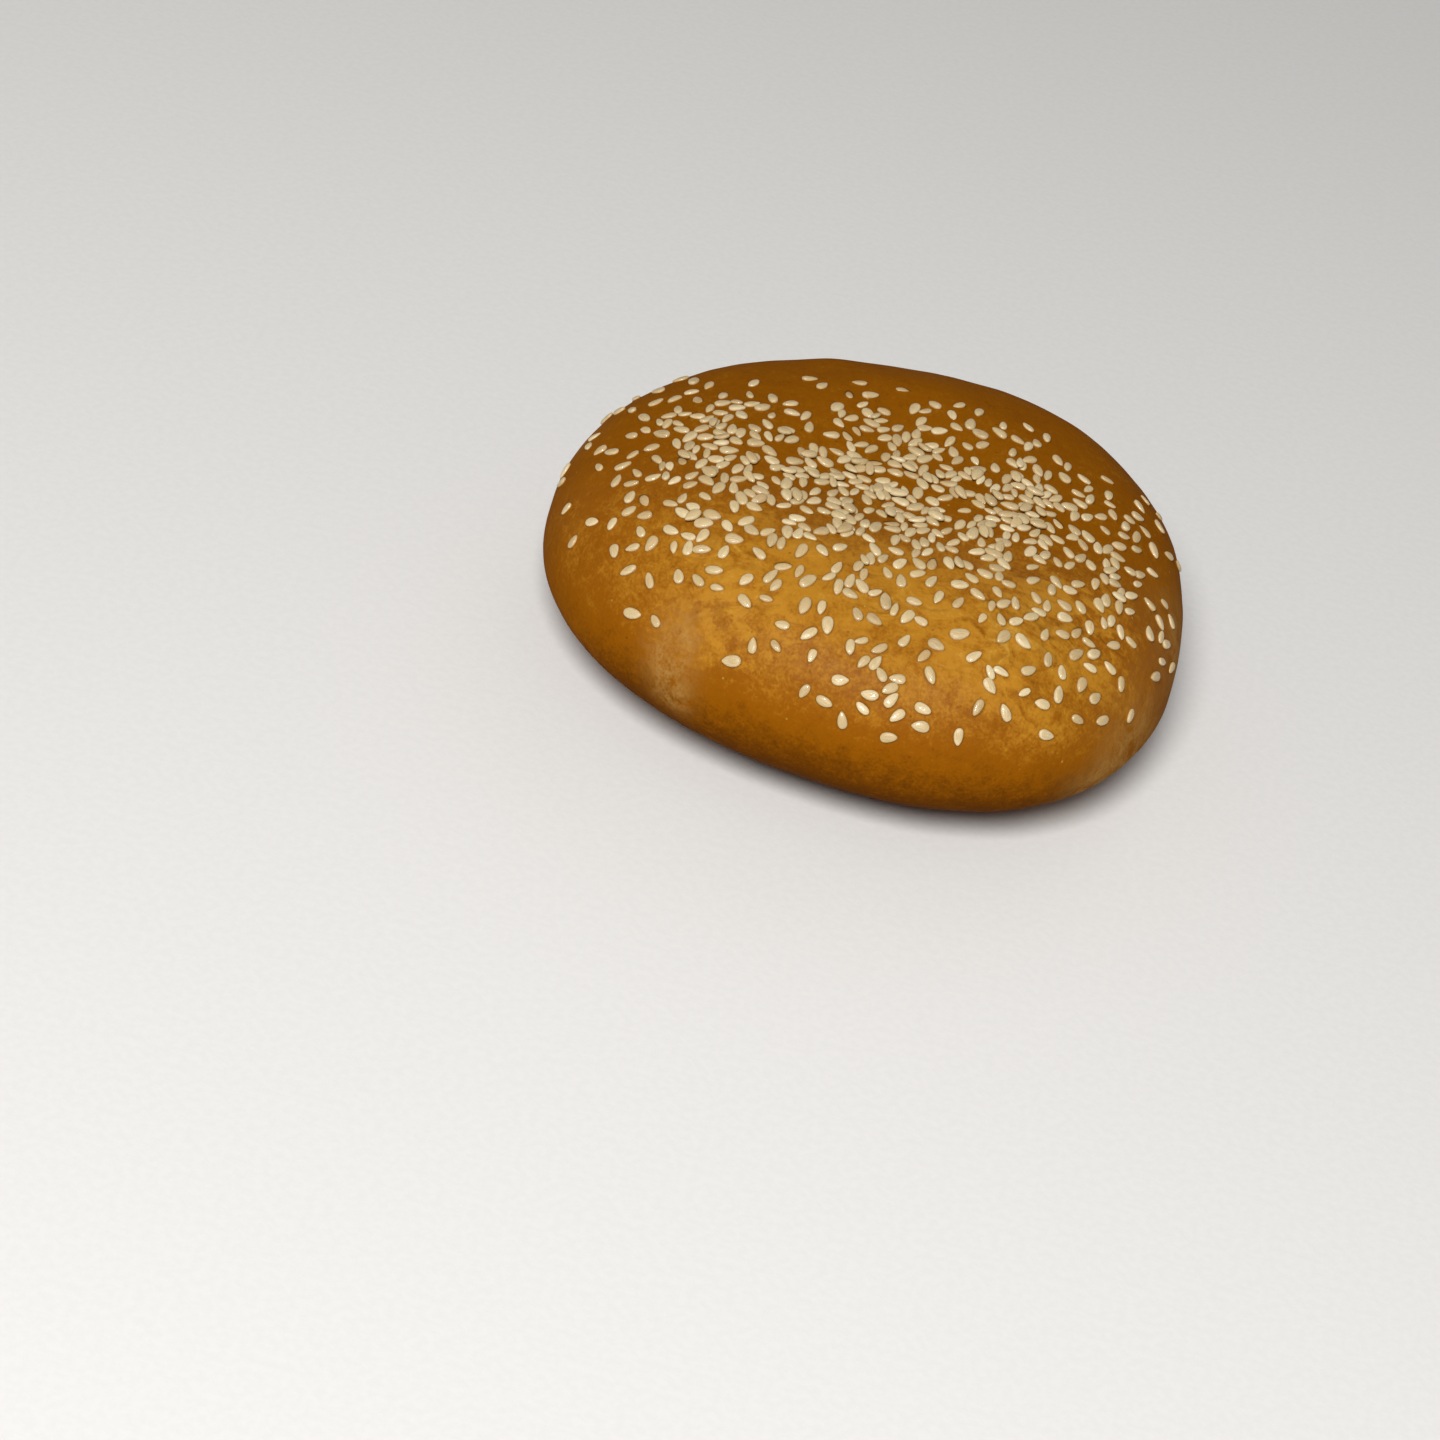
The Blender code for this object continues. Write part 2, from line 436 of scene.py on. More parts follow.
        kept = graph.add("Math", {"Value": line, "Value_001": broken}, operation="MULTIPLY")
        return graph.add("Math", {"Value": kept, "Value_001": mask}, operation="MULTIPLY")

    def leathery(self, graph: Graph, place: Socket, mask: Socket) -> Socket:
        """Add the pale, slightly raised patches of dried skin.

        Args:
            graph: The material's nodes.
            place: The surface's place.
            mask: Where the skin has dried, from 0 to 1.

        Returns:
            1 on a patch and 0 off it.
        """
        stretched = graph.add(
            "Mapping",
            {"Vector": place, "Rotation": (0.0, 0.0, math.radians(25.0)), "Scale": (0.6, 1.0, 0.8)},
        )
        patchy = graph.add(
            "TexNoise",
            {
                "Vector": stretched,
                "Scale": per_spacing(self.leather_mm),
                "Detail": 3.0,
                "Distortion": 1.2,
            },
        )
        patch = graph.add(
            "MapRange",
            {"Value": patchy, "From Min": 0.44, "From Max": 0.60},
            interpolation_type="SMOOTHSTEP",
        )
        return graph.add("Math", {"Value": patch, "Value_001": mask}, operation="MULTIPLY")

    def folds(self, graph: Graph, maps: Mapping[CrustMap, Socket], mottle: Socket) -> Socket:
        """Add the larger folds: a soft crease with a raised ridge along one side, which the colour
        also shows as painted shade in the crease and a painted highlight on the ridge.

        Args:
            graph: The material's nodes.
            maps: The mesh's painted values.
            mottle: The fine pattern that the folds wander with.

        Returns:
            Above 0 on the ridges, below 0 in the creases and 0 away from them.
        """
        side, share = maps[CrustMap.FOLD_SIDE], maps[CrustMap.FOLD_SHARE]
        wandering = graph.weighted_sum(((side, 1.0), (mottle, self.fold_wander_mm * MM)))
        start, end = (edge * MM for edge in self.fold_section_mm)
        across = graph.add("MapRange", {"Value": wandering, "From Min": start, "From Max": end})
        section = graph.add(
            "ValToRGB",
            {"Fac": across},
            stops=(
                (0.0, "#bcbcbc"),
                (0.15, "#c0c0c0"),
                (0.34, "#dcdcdc"),
                (0.50, "#7c7c7c"),
                (0.66, "#b4b4b4"),
                (1.0, "#bcbcbc"),
            ),
        )
        level = graph.add("Math", {"Value": section, "Value_001": 0.5}, operation="SUBTRACT")
        return graph.add("Math", {"Value": level, "Value_001": share}, operation="MULTIPLY")

    def spots(self, graph: Graph, place: Socket, spacing_mm: float, radius: float) -> Socket:
        """Scatter small round spots.

        Args:
            graph: The material's nodes.
            place: The surface's place.
            spacing_mm: Their spacing.
            radius: Their radius over their spacing.

        Returns:
            1 in the middle of a spot and 0 away from it.
        """
        cells = graph.add("TexVoronoi", {"Vector": place, "Scale": per_spacing(spacing_mm)})
        return graph.add(
            "MapRange",
            {"Value": cells, "From Min": 0.02, "From Max": radius, "To Min": 1.0, "To Max": 0.0},
            interpolation_type="SMOOTHSTEP",
        )


@dataclass(frozen=True)
class HulledSesame:
    """Hulled white sesame: a cream, slightly waxy seed that lets a little light through.

    Its oil and flecks of egg wash give small glints, its tip is browner, fine ridges run along it,
    and the wash stains its foot amber. The same amber on its lower half is painted shade.

    Attributes:
        whitest: The palest seeds.
        cream: The seeds' usual colour.
        greyest: The dullest seeds.
        tip_shade: The tip.
        amber: The foot, stained by the wash, and the painted shade on the seed's lower half.
        ridge_mm: The spacing of the ridges, drawn coarser than the real ones so that they show.
        fleck_mm: The spacing of the flecks of egg wash.
        relief_mm: The height of the ridges.
        light_reach_mm: How far light spreads inside the seed.
        roughness: The roughness of the seed's own coat.
        fleck_roughness: The roughness of the flecks.
    """

    whitest: str = "#d2bf97"
    cream: str = "#bda67a"
    greyest: str = "#a88f68"
    tip_shade: str = "#957242"
    amber: str = "#a07230"
    ridge_mm: float = 0.20
    fleck_mm: float = 0.35
    relief_mm: float = 0.10
    light_reach_mm: float = 0.5
    roughness: float = 0.40
    fleck_roughness: float = 0.09

    def material(self) -> bpy.types.Material:
        """Build the seeds' material.

        Returns:
            The material, with each seed's own tone, stained foot, painted shade below, fine ridges
            and glints.
        """
        graph = Graph("hulled_white_sesame")
        tone, soak_and_shade, tip = (
            graph.add("Attribute", {}, "Fac", attribute_name=kind.value)
            for kind in (SeedMap.TONE, SeedMap.SOAK_AND_SHADE, SeedMap.TIP)
        )
        place = graph.add("Attribute", {}, "Vector", attribute_name=SeedMap.PLACE.value)
        along = graph.add("Mapping", {"Vector": place, "Scale": (0.22, 1.0, 1.0)})
        coat = graph.add(
            "TexNoise", {"Vector": along, "Scale": per_spacing(self.ridge_mm), "Detail": 2.0}
        )
        inputs = {"Vector": place, "Scale": per_spacing(self.fleck_mm), "Detail": 1.0}
        fleck = graph.add("TexNoise", inputs)
        varied = graph.weighted_sum(((tone, 1.0), (coat, 0.50)))
        plain = graph.add(
            "ValToRGB",
            {"Fac": varied},
            stops=((0.10, self.greyest), (0.55, self.cream), (1.0, self.whitest)),
        )
        # The seed's amber holds the wash's stain at its foot and painted shade on its lower half.
        colour = graph.layered(plain, ((tip, 1.0, self.tip_shade), (soak_and_shade, 1.0, self.amber)))
        bump = graph.add("Bump", {"Distance": self.relief_mm * MM, "Height": coat})
        wet = graph.add(
            "MapRange", {"Value": fleck, "From Min": 0.50, "From Max": 0.66, "To Max": 0.9}
        )
        shader = graph.add(
            "BsdfPrincipled",
            {
                "Base Color": colour,
                "Roughness": self.roughness,
                "Normal": bump,
                "IOR": 1.47,
                "Specular IOR Level": 0.42,
                "Subsurface Weight": 0.10,
                "Subsurface Radius": (1.0, 0.7, 0.4),
                "Subsurface Scale": self.light_reach_mm * MM,
                "Coat Weight": wet,
                "Coat Roughness": self.fleck_roughness,
            },
        )
        graph.add("OutputMaterial", {"Surface": shader})
        return graph.material


@dataclass(frozen=True)
class MattWhiteBoard:
    """Matt white card under the bun: even, with the faintest tooth of paper fibre.

    Attributes:
        white: The tooth's tops.
        shade: Its hollows.
        tooth_mm: The tooth's spacing, drawn coarser than real paper fibre so that it shows.
        relief_mm: The tooth's height.
        roughness: The card's roughness.
    """

    white: str = "#dbd9d6"
    shade: str = "#d8d6d3"
    tooth_mm: float = 1.2
    relief_mm: float = 0.03
    roughness: float = 0.85

    def material(self) -> bpy.types.Material:
        """Build the floor's material.

        Returns:
            The material.
        """
        graph = Graph("matt_white_board")
        place = graph.add("TexCoord", {}, "Object")
        tooth = graph.add(
            "TexNoise", {"Vector": place, "Scale": per_spacing(self.tooth_mm), "Detail": 3.0}
        )
        colour = graph.add("ValToRGB", {"Fac": tooth}, stops=((0.3, self.shade), (0.7, self.white)))
        bump = graph.add("Bump", {"Distance": self.relief_mm * MM, "Height": tooth})
        shader = graph.add(
            "BsdfPrincipled",
            {
                "Base Color": colour,
                "Roughness": self.roughness,
                "Specular IOR Level": 0.2,
                "Normal": bump,
            },
        )
        graph.add("OutputMaterial", {"Surface": shader})
        return graph.material


@dataclass(frozen=True)
class Swelling:
    """One low, round rise of the crown.

    Attributes:
        x: Its middle in plan.
        y: Its middle in plan.
        radius: Its radius.
        height: How far it rises.
    """

    x: float
    y: float
    radius: float
    height: float

    def rise(self, x: float, y: float) -> float:
        """Return how far it lifts the crown at this plan point."""
        away = math.hypot(x - self.x, y - self.y) / self.radius
        return self.height * math.exp(-away * away)


@dataclass(frozen=True)
class Fold:
    """One fold of the skin.

    Attributes:
        spots_mm: The plan points that it runs through.
        strength: How deep it is, from 0 to 1.
        run_out: Where it starts and where it is full, as shares of its run from either end.
        side_fade: How far to its side it starts to fade and is gone.
    """

    spots_mm: tuple[tuple[float, float], ...]
    strength: float
    run_out: tuple[float, float] = (-0.02, 0.22)
    side_fade: tuple[float, float] = (1.0 * MM, 2.0 * MM)

    def nearest(self, point: Vector) -> tuple[float, float]:
        """Measure how far a point lies beside the fold.

        Args:
            point: The point.

        Returns:
            The distance in plan, above 0 on the fold's left, and how much of the fold is left
            there: it runs out at its ends.
        """
        nearest, count = (math.inf, 0.0, 0.0), len(self.spots_mm) - 1
        for number in range(count):
            start, end = (Vector(spot) * MM for spot in self.spots_mm[number : number + 2])
            run, reach = end - start, point.xy - start
            share = max(0.0, min(1.0, reach.dot(run) / run.length_squared))
            away = (reach - run * share).length
            if away < nearest[0]:
                side = math.copysign(away, run.x * reach.y - run.y * reach.x)
                nearest = (away, side, (number + share) / count)
        away, side, along = nearest
        ending = smooth_step(min(along, 1.0 - along), *self.run_out)
        return side, self.strength * ending * (1.0 - smooth_step(away, *self.side_fade))


@dataclass
class BunForm:
    """The bun's form, with the same sizes as the solid's.

    Attributes:
        belly_radius: The mean radius at the belly, in plan.
        height: The height of the crown above the base.
        belly_height: How high the belly lies.
        crown_fullness: How square the crown's shoulder is.
        underside_depth: How far the underside would reach below the belly, uncut.
        underside_fullness: How square the underside is.
        plan_lobes: Each lobe count, its share of the radius and its direction.
        hollow_depth: The depth of the hollow in the crown.
        hollow_radius: The hollow's radius.
        unevenness: How far the dough's soft waves rise and fall.
        uneven_spacing: The waves' spacing.
        relief_blend: How soon the crown's relief fades in above the belly.
        swellings: The crown's low rises.
        normal_step: The step, in radians, that a normal is measured over.
        offset_x: How far the lobed plan's box lies off the axis.
        offset_y: How far it lies off the other way.
    """

    belly_radius: float = 0.0505
    height: float = 0.0364
    belly_height: float = 0.0136
    crown_fullness: float = 2.4
    underside_depth: float = 0.0164
    underside_fullness: float = 2.0
    plan_lobes: tuple[tuple[int, float, float], ...] = (
        (2, 0.022, math.radians(5.0)),
        (3, 0.032, math.radians(65.5)),
        (4, 0.015, math.radians(43.5)),
    )
    hollow_depth: float = 0.0026
    hollow_radius: float = 0.019
    unevenness: float = 0.0007
    uneven_spacing: float = 0.017
    relief_blend: float = 2.0
    swellings: tuple[Swelling, ...] = (
        Swelling(-0.0115, -0.0240, 0.0050, 0.00055),
        Swelling(0.0210, -0.0330, 0.0110, 0.00060),
        Swelling(0.0330, -0.0160, 0.0100, 0.00050),
        Swelling(-0.0300, -0.0180, 0.0120, 0.00050),
        Swelling(-0.0160, 0.0350, 0.0040, 0.00045),
        Swelling(0.0100, 0.0280, 0.0120, 0.00050),
    )
    normal_step: float = 0.01
    offset_x: float = field(init=False)
    offset_y: float = field(init=False)

    def __post_init__(self) -> None:
        """Measure how far the lobed plan's box lies off the axis, every quarter of a degree."""
        angles = [math.radians(step / 4) for step in range(4 * 360)]
        xs = [self.plan_radius(angle) * math.cos(angle) for angle in angles]
        ys = [self.plan_radius(angle) * math.sin(angle) for angle in angles]
        self.offset_x = (max(xs) + min(xs)) / 2
        self.offset_y = (max(ys) + min(ys)) / 2

    def plan_radius(self, angle: float) -> float:
        """Find the belly's radius in one direction.

        Args:
            angle: The plan angle.

        Returns:
            The radius.
        """
        share = 1.0
        for lobes, amount, direction in self.plan_lobes:
            share += amount * math.cos(lobes * (angle - direction))
        return self.belly_radius * share

    def crown_relief(self, x: float, y: float) -> float:
        """Find how far the crown rises above its smooth dome.

        Args:
            x: The plan point.
            y: The plan point.

        Returns:
            The rise, below 0 in the hollow.
        """
        rise = -self.hollow_depth * math.exp(-(x * x + y * y) / self.hollow_radius**2)
        for swelling in self.swellings:
            rise += swelling.rise(x, y)
        place = Vector((x, y, 0.0)) / self.uneven_spacing
        return rise + self.unevenness * noise.noise(place)

    def point(self, direction: Vector) -> Vector:
        """Find the crust's point in a direction from the belly's middle.

        Args:
            direction: A unit direction.

        Returns:
            The point.
        """
        across = math.hypot(direction.x, direction.y)
        upper = direction.z > 0.0
        fullness = self.crown_fullness if upper else self.underside_fullness
        depth = self.height - self.belly_height if upper else self.underside_depth
        reach = (across**fullness + abs(direction.z) ** fullness) ** (-1.0 / fullness)
        radius = reach * self.plan_radius(math.atan2(direction.y, direction.x))
        x = radius * direction.x
        y = radius * direction.y
        z = self.belly_height + reach * direction.z * depth
        if upper:
            z += self.crown_relief(x, y) * min(1.0, self.relief_blend * reach * direction.z)
        return Vector((x - self.offset_x, y - self.offset_y, z))

    def polar_point(self, polar: float, angle: float) -> Vector:
        """Return the crust's point at this angle from straight up and this plan angle."""
        flat = math.sin(polar)
        return self.point(Vector((flat * math.cos(angle), flat * math.sin(angle), math.cos(polar))))

    def normal(self, polar: float, angle: float) -> tuple[Vector, float]:
        """Find the crust's outward normal.

        Args:
            polar: The angle from straight up.
            angle: The plan angle.

        Returns:
            The normal, and the plan area that one unit of solid angle covers there.
        """
        step = self.normal_step
        point = self.polar_point(polar, angle)
        down = self.polar_point(polar + step, angle) - point
        along = self.polar_point(polar, angle + step / math.sin(polar)) - point
        normal = down.cross(along)
        return normal.normalized(), normal.z / step**2


@dataclass(frozen=True)
class Seed:
    """One fallen seed.

    Attributes:
        point: Where its middle lies on the crust.
        normal: The crust's outward normal there.
        long_way: The direction of its tip, along the crust.
        length: Its length.
        settling: How it came to rest.
    """

    point: Vector
    normal: Vector
    long_way: Vector
    length: float
    settling: Settling = Settling.FLAT


@dataclass
class Sprinkling:
    """The rule that the seeds were dropped by, the same as the solid's.

    Attributes:
        form: The bun that they fell on.
        count: How many there are.
        length: A seed's mean length.
        length_spread: How much the lengths vary, as a share.
        width_share: A seed's width over its length.
        gap: The least gap between seeds that lie flat.
        lone_gap: How much more room seeds have where they are few.
        near: How far away a seed can still touch another.
        stacked_chance: How often a seed that lands on others stays there.
        stacked_spacing: The least distance between two seeds' middles.
        handfuls: Where each handful fell in plan, its spread and how many seeds it held.
        highest_density: Their highest density in seeds per square metre.
        back_limit: Where the seeds end at the back.
        back_fade: How softly they end there.
        highest_polar: The polar angle nearest the top where seeds are dropped.
        lowest_polar: The polar angle where the last seeds are dropped.
        largest_area_share: The largest plan area over solid angle, in belly radii squared.
        random_seed: The start of the random draw.
    """

    form: BunForm
    count: int = 595
    length: float = 0.00275
    length_spread: float = 0.09
    width_share: float = 0.57
    gap: float = 0.00006
    lone_gap: float = 0.0007
    near: float = 0.004
    stacked_chance: float = 0.6
    stacked_spacing: float = 0.0012
    handfuls: tuple[tuple[float, float, float, int], ...] = (
        (-0.004, -0.016, 0.013, 190),
        (0.023, 0.004, 0.010, 135),
        (-0.028, 0.001, 0.008, 75),
        (0.027, -0.025, 0.009, 60),
        (0.000, 0.010, 0.007, 50),
        (-0.029, -0.019, 0.008, 45),
        (0.006, -0.041, 0.005, 20),
        (0.039, -0.010, 0.006, 20),
    )
    highest_density: float = 223_000.0
    back_limit: float = 0.0225
    back_fade: float = 0.0012
    highest_polar: float = math.radians(0.8)
    lowest_polar: float = math.radians(75.0)
    largest_area_share: float = 1.6
    random_seed: int = 105

    def density(self, x: float, y: float) -> float:
        """Find how closely the seeds lie.

        Args:
            x: The plan point.
            y: The plan point.

        Returns:
            The density, as a share of the highest.
        """
        density = 0.0
        for centre_x, centre_y, spread, seeds in self.handfuls:
            away = math.hypot(x - centre_x, y - centre_y) / spread
            density += seeds / (2.0 * math.pi * spread**2) * math.exp(-away * away / 2.0)
        back = 1.0 + math.exp((y - self.back_limit) / self.back_fade)
        return density / self.highest_density / back

    def spine(self, seed: Seed) -> tuple[Vector, Vector, Vector]:
        """Return three points along a seed's middle line, inside its outline."""
        reach = seed.long_way * (seed.length * (1.0 - self.width_share) / 2.0)
        return seed.point - reach, seed.point, seed.point + reach

    def gap_between(self, one: Seed, other: Seed) -> float:
        """Return the gap between two seeds' outlines, or minus their overlap."""
        nearest = min((s - e).length for s in self.spine(one) for e in self.spine(other))
        return nearest - self.width_share * (one.length + other.length) / 2.0

    def fallen(self, draw: random.Random, point: Vector, normal: Vector) -> Seed:
        """Drop a seed of a random size and heading.

        Args:
            draw: The random draw.
            point: Where it lands.
            normal: The crust's normal there.

        Returns:
            The seed.
        """
        side = normal.orthogonal().normalized()
        long_way = Matrix.Rotation(draw.uniform(-math.pi, math.pi), 3, normal) @ side
        size = max(-2.0, min(2.0, draw.gauss(0.0, 1.0)))
        return Seed(point, normal, long_way, self.length * (1.0 + self.length_spread * size))

    def seeds(self) -> list[Seed]:
        """Drop the seeds one by one, mostly clear of those before.

        Returns:
            The seeds, in the order they fell.
        """
        draw = random.Random(self.random_seed)
        largest_area = self.largest_area_share * self.form.belly_radius**2
        lowest, highest = math.cos(self.lowest_polar), math.cos(self.highest_polar)
        seeds: list[Seed] = []
        while len(seeds) < self.count:
            polar = math.acos(draw.uniform(lowest, highest))
            angle = draw.uniform(-math.pi, math.pi)
            point = self.form.polar_point(polar, angle)
            normal, area = self.form.normal(polar, angle)
            share = self.density(point.x, point.y)
            if draw.random() > share * area / largest_area:
                continue
            seed = self.fallen(draw, point, normal)
            near = [other for other in seeds if (other.point - point).length < self.near]
            clear = self.gap + self.lone_gap * (1.0 - share) ** 2
            if all(self.gap_between(seed, other) > clear for other in near):
                seeds.append(seed)
                continue
            spacing = min((other.point - point).length for other in near)
            if spacing > self.stacked_spacing and draw.random() < self.stacked_chance * share**2:
                seeds.append(replace(seed, settling=Settling.STACKED))
        return seeds


def add_piece(
    name: str,
    points: np.ndarray,
    faces: Sequence[tuple[int, ...]],
    painted: Mapping[Enum, np.ndarray],
    material: bpy.types.Material,
) -> bpy.types.Object:
    """Make one smooth piece that replaces the solid bun.

    Args:
        name: Its name.
        points: Its points.
        faces: Its faces, as point numbers.
        painted: The values painted on its points.
        material: Its material.

    Returns:
        The piece.
    """
    mesh = bpy.data.meshes.new(name)
    mesh.from_pydata(points.tolist(), [], faces)
    for kind, values in painted.items():
        wide = values.ndim == 2
        layer = mesh.attributes.new(kind.value, "FLOAT_VECTOR" if wide else "FLOAT", "POINT")
        layer.data.foreach_set("vector" if wide else "value", values.astype(np.float32).ravel())
    mesh.shade_smooth()
    mesh.materials.append(material)
    piece = bpy.data.objects.new(name, mesh)
    bpy.context.scene.collection.objects.link(piece)
    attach(piece, "root")
    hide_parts("bun")
    LOG.info("%s: %d faces", name, len(faces))
    return piece


def ring_faces(start: int, rings: int, sectors: int) -> list[tuple[int, ...]]:
    """List the faces between rings of points.

    Args:
        start: The first ring's first point number.
        rings: How many rings there are.
        sectors: The points of a ring.

    Returns:
        The faces, as point numbers.
    """
    return [
        (low + (sector + 1) % sectors, low + sector, low + sectors + sector,
         low + sectors + (sector + 1) % sectors)
        for low in range(start, start + (rings - 1) * sectors, sectors)
        for sector in range(sectors)
    ]


@dataclass
class SeedTopping:
    """The white sesame seeds on the crust, as one piece.

    Attributes:
        sprinkling: The rule that places them.
        finish: Their finish.
        rings: The rings of points along a seed.
        sectors: The points of a ring.
        plumpness: How much of its outline a seed fills.
        thickness_share: A seed's thickness over its length.
        rise_share: How far a flat seed stands out of the crust, over its length.
        sunk_chance: The share of the flat seeds that the wash has drawn in.
        sunk_rise_share: How far those stand out.
        taper: How much narrower the tip's half is.
        tapers: The range of one seed's taper over the usual one.
        widths: The range of its width over the usual one.
        thicknesses: The range of its thickness over the usual one.
        pinches: The range of how far its tip is drawn in.
        bends: The range of its sideways bend, over its length.
        curls: The range of its upward curl, over its length.
        lumpiness: How uneven its skin is.
        lean_spread: How far the seeds lean at random, along and across.
        steepest_lean: The steepest that a seed leans.
        last_handfuls: The middle in plan, the two spreads and the seeds of each late handful.
        drop_height: The height above the floor that those seeds are laid from.
        slide_steps: How many small steps a stacked seed slides at most.
        slide_share: How much of an overlap one step takes up.
        largest_turn: The most that it turns in a step, in radians.
        most_overlap: How far a seed may lap over others and still count as lying flat.
        foot: How far the wash stains a seed above the crust.
        foot_stain_and_shade: How strong that stain and the painted shade on the seed's lower half
            are, from 0 to 1.
        soaks: How much wash the seeds took up, each as likely.
        sunk_soaks: The range of what those that the wash drew in took up.
        tip_browning: The range of how brown the tips are.
        tones: The mean and the spread of the seeds' tones, from 0 to 1.
        palest_tone: The palest tone that a seed has.
        edge_paling: How much paler a seed's edge is than its top.
        random_seed: The start of the random draw.
        seeds: The seeds, the stacked ones last once they have settled.
    """

    sprinkling: Sprinkling
    finish: HulledSesame
    rings: int = 10
    sectors: int = 14
    plumpness: float = 0.95
    thickness_share: float = 0.30
    rise_share: float = 0.21
    sunk_chance: float = 0.04
    sunk_rise_share: float = 0.10
    taper: float = 0.20
    tapers: tuple[float, float] = (0.6, 1.4)
    widths: tuple[float, float] = (0.84, 1.10)
    thicknesses: tuple[float, float] = (0.88, 1.10)
    pinches: tuple[float, float] = (0.05, 0.30)
    bends: tuple[float, float] = (-0.03, 0.03)
    curls: tuple[float, float] = (-0.02, 0.03)
    lumpiness: float = 0.03
    lean_spread: tuple[float, float] = (0.06, 0.08)
    steepest_lean: float = math.radians(34.0)
    last_handfuls: tuple[tuple[float, float, float, float, int], ...] = (
        (-0.005, -0.006, 0.011, 0.007, 62),
        (0.015, -0.004, 0.008, 0.006, 22),
    )
    drop_height: float = 0.034
    slide_steps: int = 40
    slide_share: float = 0.5
    largest_turn: float = 0.2
    most_overlap: float = 0.00018
    foot: float = 0.00022
    # The wash's stain, and painted shade on the seed's lower half.
    foot_stain_and_shade: float = 0.5
    soaks: tuple[float, ...] = (0.0, 0.0, 0.05, 0.15)
    sunk_soaks: tuple[float, float] = (0.15, 0.40)
    tip_browning: tuple[float, float] = (0.1, 0.6)
    tones: tuple[float, float] = (0.26, 0.16)
    palest_tone: float = 0.7
    edge_paling: float = 0.24
    random_seed: int = 7
    seeds: list[Seed] = field(init=False)

    def __post_init__(self) -> None:
        """Drop the seeds, draw in the few that sink, and add the late handfuls."""
        draw = random.Random(self.random_seed)
        self.seeds = [
            replace(seed, settling=Settling.SUNK)
            if seed.settling is Settling.FLAT and draw.random() < self.sunk_chance
            else seed
            for seed in self.sprinkling.seeds()
        ]
        for x, y, spread_x, spread_y, count in self.last_handfuls:
            for _ in range(count):
                point = Vector((draw.gauss(x, spread_x), draw.gauss(y, spread_y), self.drop_height))
                seed = self.sprinkling.fallen(draw, point, Vector((0.0, 0.0, 1.0)))
                self.seeds.append(replace(seed, settling=Settling.STACKED))

    def laid(self, seed: Seed, point: Vector, surface: BVHTree) -> Seed:
        """Lay a seed on the crust.

        Args:
            seed: The seed.
            point: Where it goes.
            surface: The crust.

        Returns:
            The seed in its new place.
        """
        found, normal, _, _ = surface.find_nearest(point)
        long_way = seed.long_way - normal * seed.long_way.dot(normal)
        return replace(seed, point=found, normal=normal, long_way=long_way.normalized())

    def pushed(self, seed: Seed, others: Sequence[Seed]) -> tuple[Vector, float, float]:
        """Find how the seeds that a seed laps over push it aside.

        Args:
            seed: The seed.
            others: The seeds that it may lap over.

        Returns:
            The step aside, the turn in radians and the largest overlap.
        """
        step, turn, largest = Vector(), 0.0, 0.0
        for other in others:
            reach = self.sprinkling.width_share * (seed.length + other.length) / 2.0
            own, theirs = min(
                product(self.sprinkling.spine(seed), self.sprinkling.spine(other)),
                key=lambda pair: (pair[0] - pair[1]).length,
            )
            away = own - theirs
            overlap = reach * self.plumpness - away.length
            if overlap <= 0.0:
                continue
            largest = max(largest, overlap)
            push = away.normalized() * overlap
            step += push * self.slide_share
            turn += 2.0 * (own - seed.point).cross(push).dot(seed.normal) / seed.length**2
        return step, max(-self.largest_turn, min(self.largest_turn, turn)), largest

    def settle(self, surface: BVHTree) -> None:
        """Lay the seeds on the crust, and slide stacked ones aside as far as there is room.

        Args:
            surface: The crust.
        """
        laid = [self.laid(seed, seed.point, surface) for seed in self.seeds]
        done = [seed for seed in laid if seed.settling is not Settling.STACKED]
        stacked = []
        for seed in (seed for seed in laid if seed.settling is Settling.STACKED):
            reach = 2.0 * self.sprinkling.near
            others = [other for other in done if (other.point - seed.point).length < reach]
            for _ in range(self.slide_steps):
                step, turn, overlap = self.pushed(seed, others)
                if overlap < self.most_overlap:
                    break
                turned = Matrix.Rotation(turn, 3, seed.normal) @ seed.long_way
                seed = self.laid(replace(seed, long_way=turned), seed.point + step, surface)
            if overlap < self.most_overlap:
                done.append(replace(seed, settling=Settling.FLAT))
            else:
                stacked.append(seed)
        self.seeds = done + stacked
        LOG.info("%d seeds lie flat and %d stay stacked", len(done), len(stacked))

    def shape(self, draw: random.Random, seed: Seed) -> np.ndarray:
        """Shape one plump teardrop, its tip at +X.

        Args:
            draw: The random draw.
            seed: The seed.

        Returns:
            Its points: the blunt end, the rings and the tip.
        """
        turns = np.linspace(0.0, math.pi, self.rings + 2)[:, None]
        around = np.linspace(0.0, 2.0 * math.pi, self.sectors, endpoint=False)
        along, bulge = -np.cos(turns), np.sin(turns)
        pinch = draw.uniform(*self.pinches) * np.clip((along - 0.35) / 0.65, 0.0, 1.0) ** 1.5
        narrowing = (1.0 - self.taper * draw.uniform(*self.tapers) * along) * (1.0 - pinch)
        width = 0.5 * self.sprinkling.width_share * draw.uniform(*self.widths)
        thickness = 0.5 * self.thickness_share * draw.uniform(*self.thicknesses)
        wave = 3.0 * along + 2.0 * around + draw.uniform(0.0, 2.0 * math.pi)
        lump = 1.0 + self.lumpiness * np.sin(wave)
        bend, curl = draw.uniform(*self.bends), draw.uniform(*self.curls)
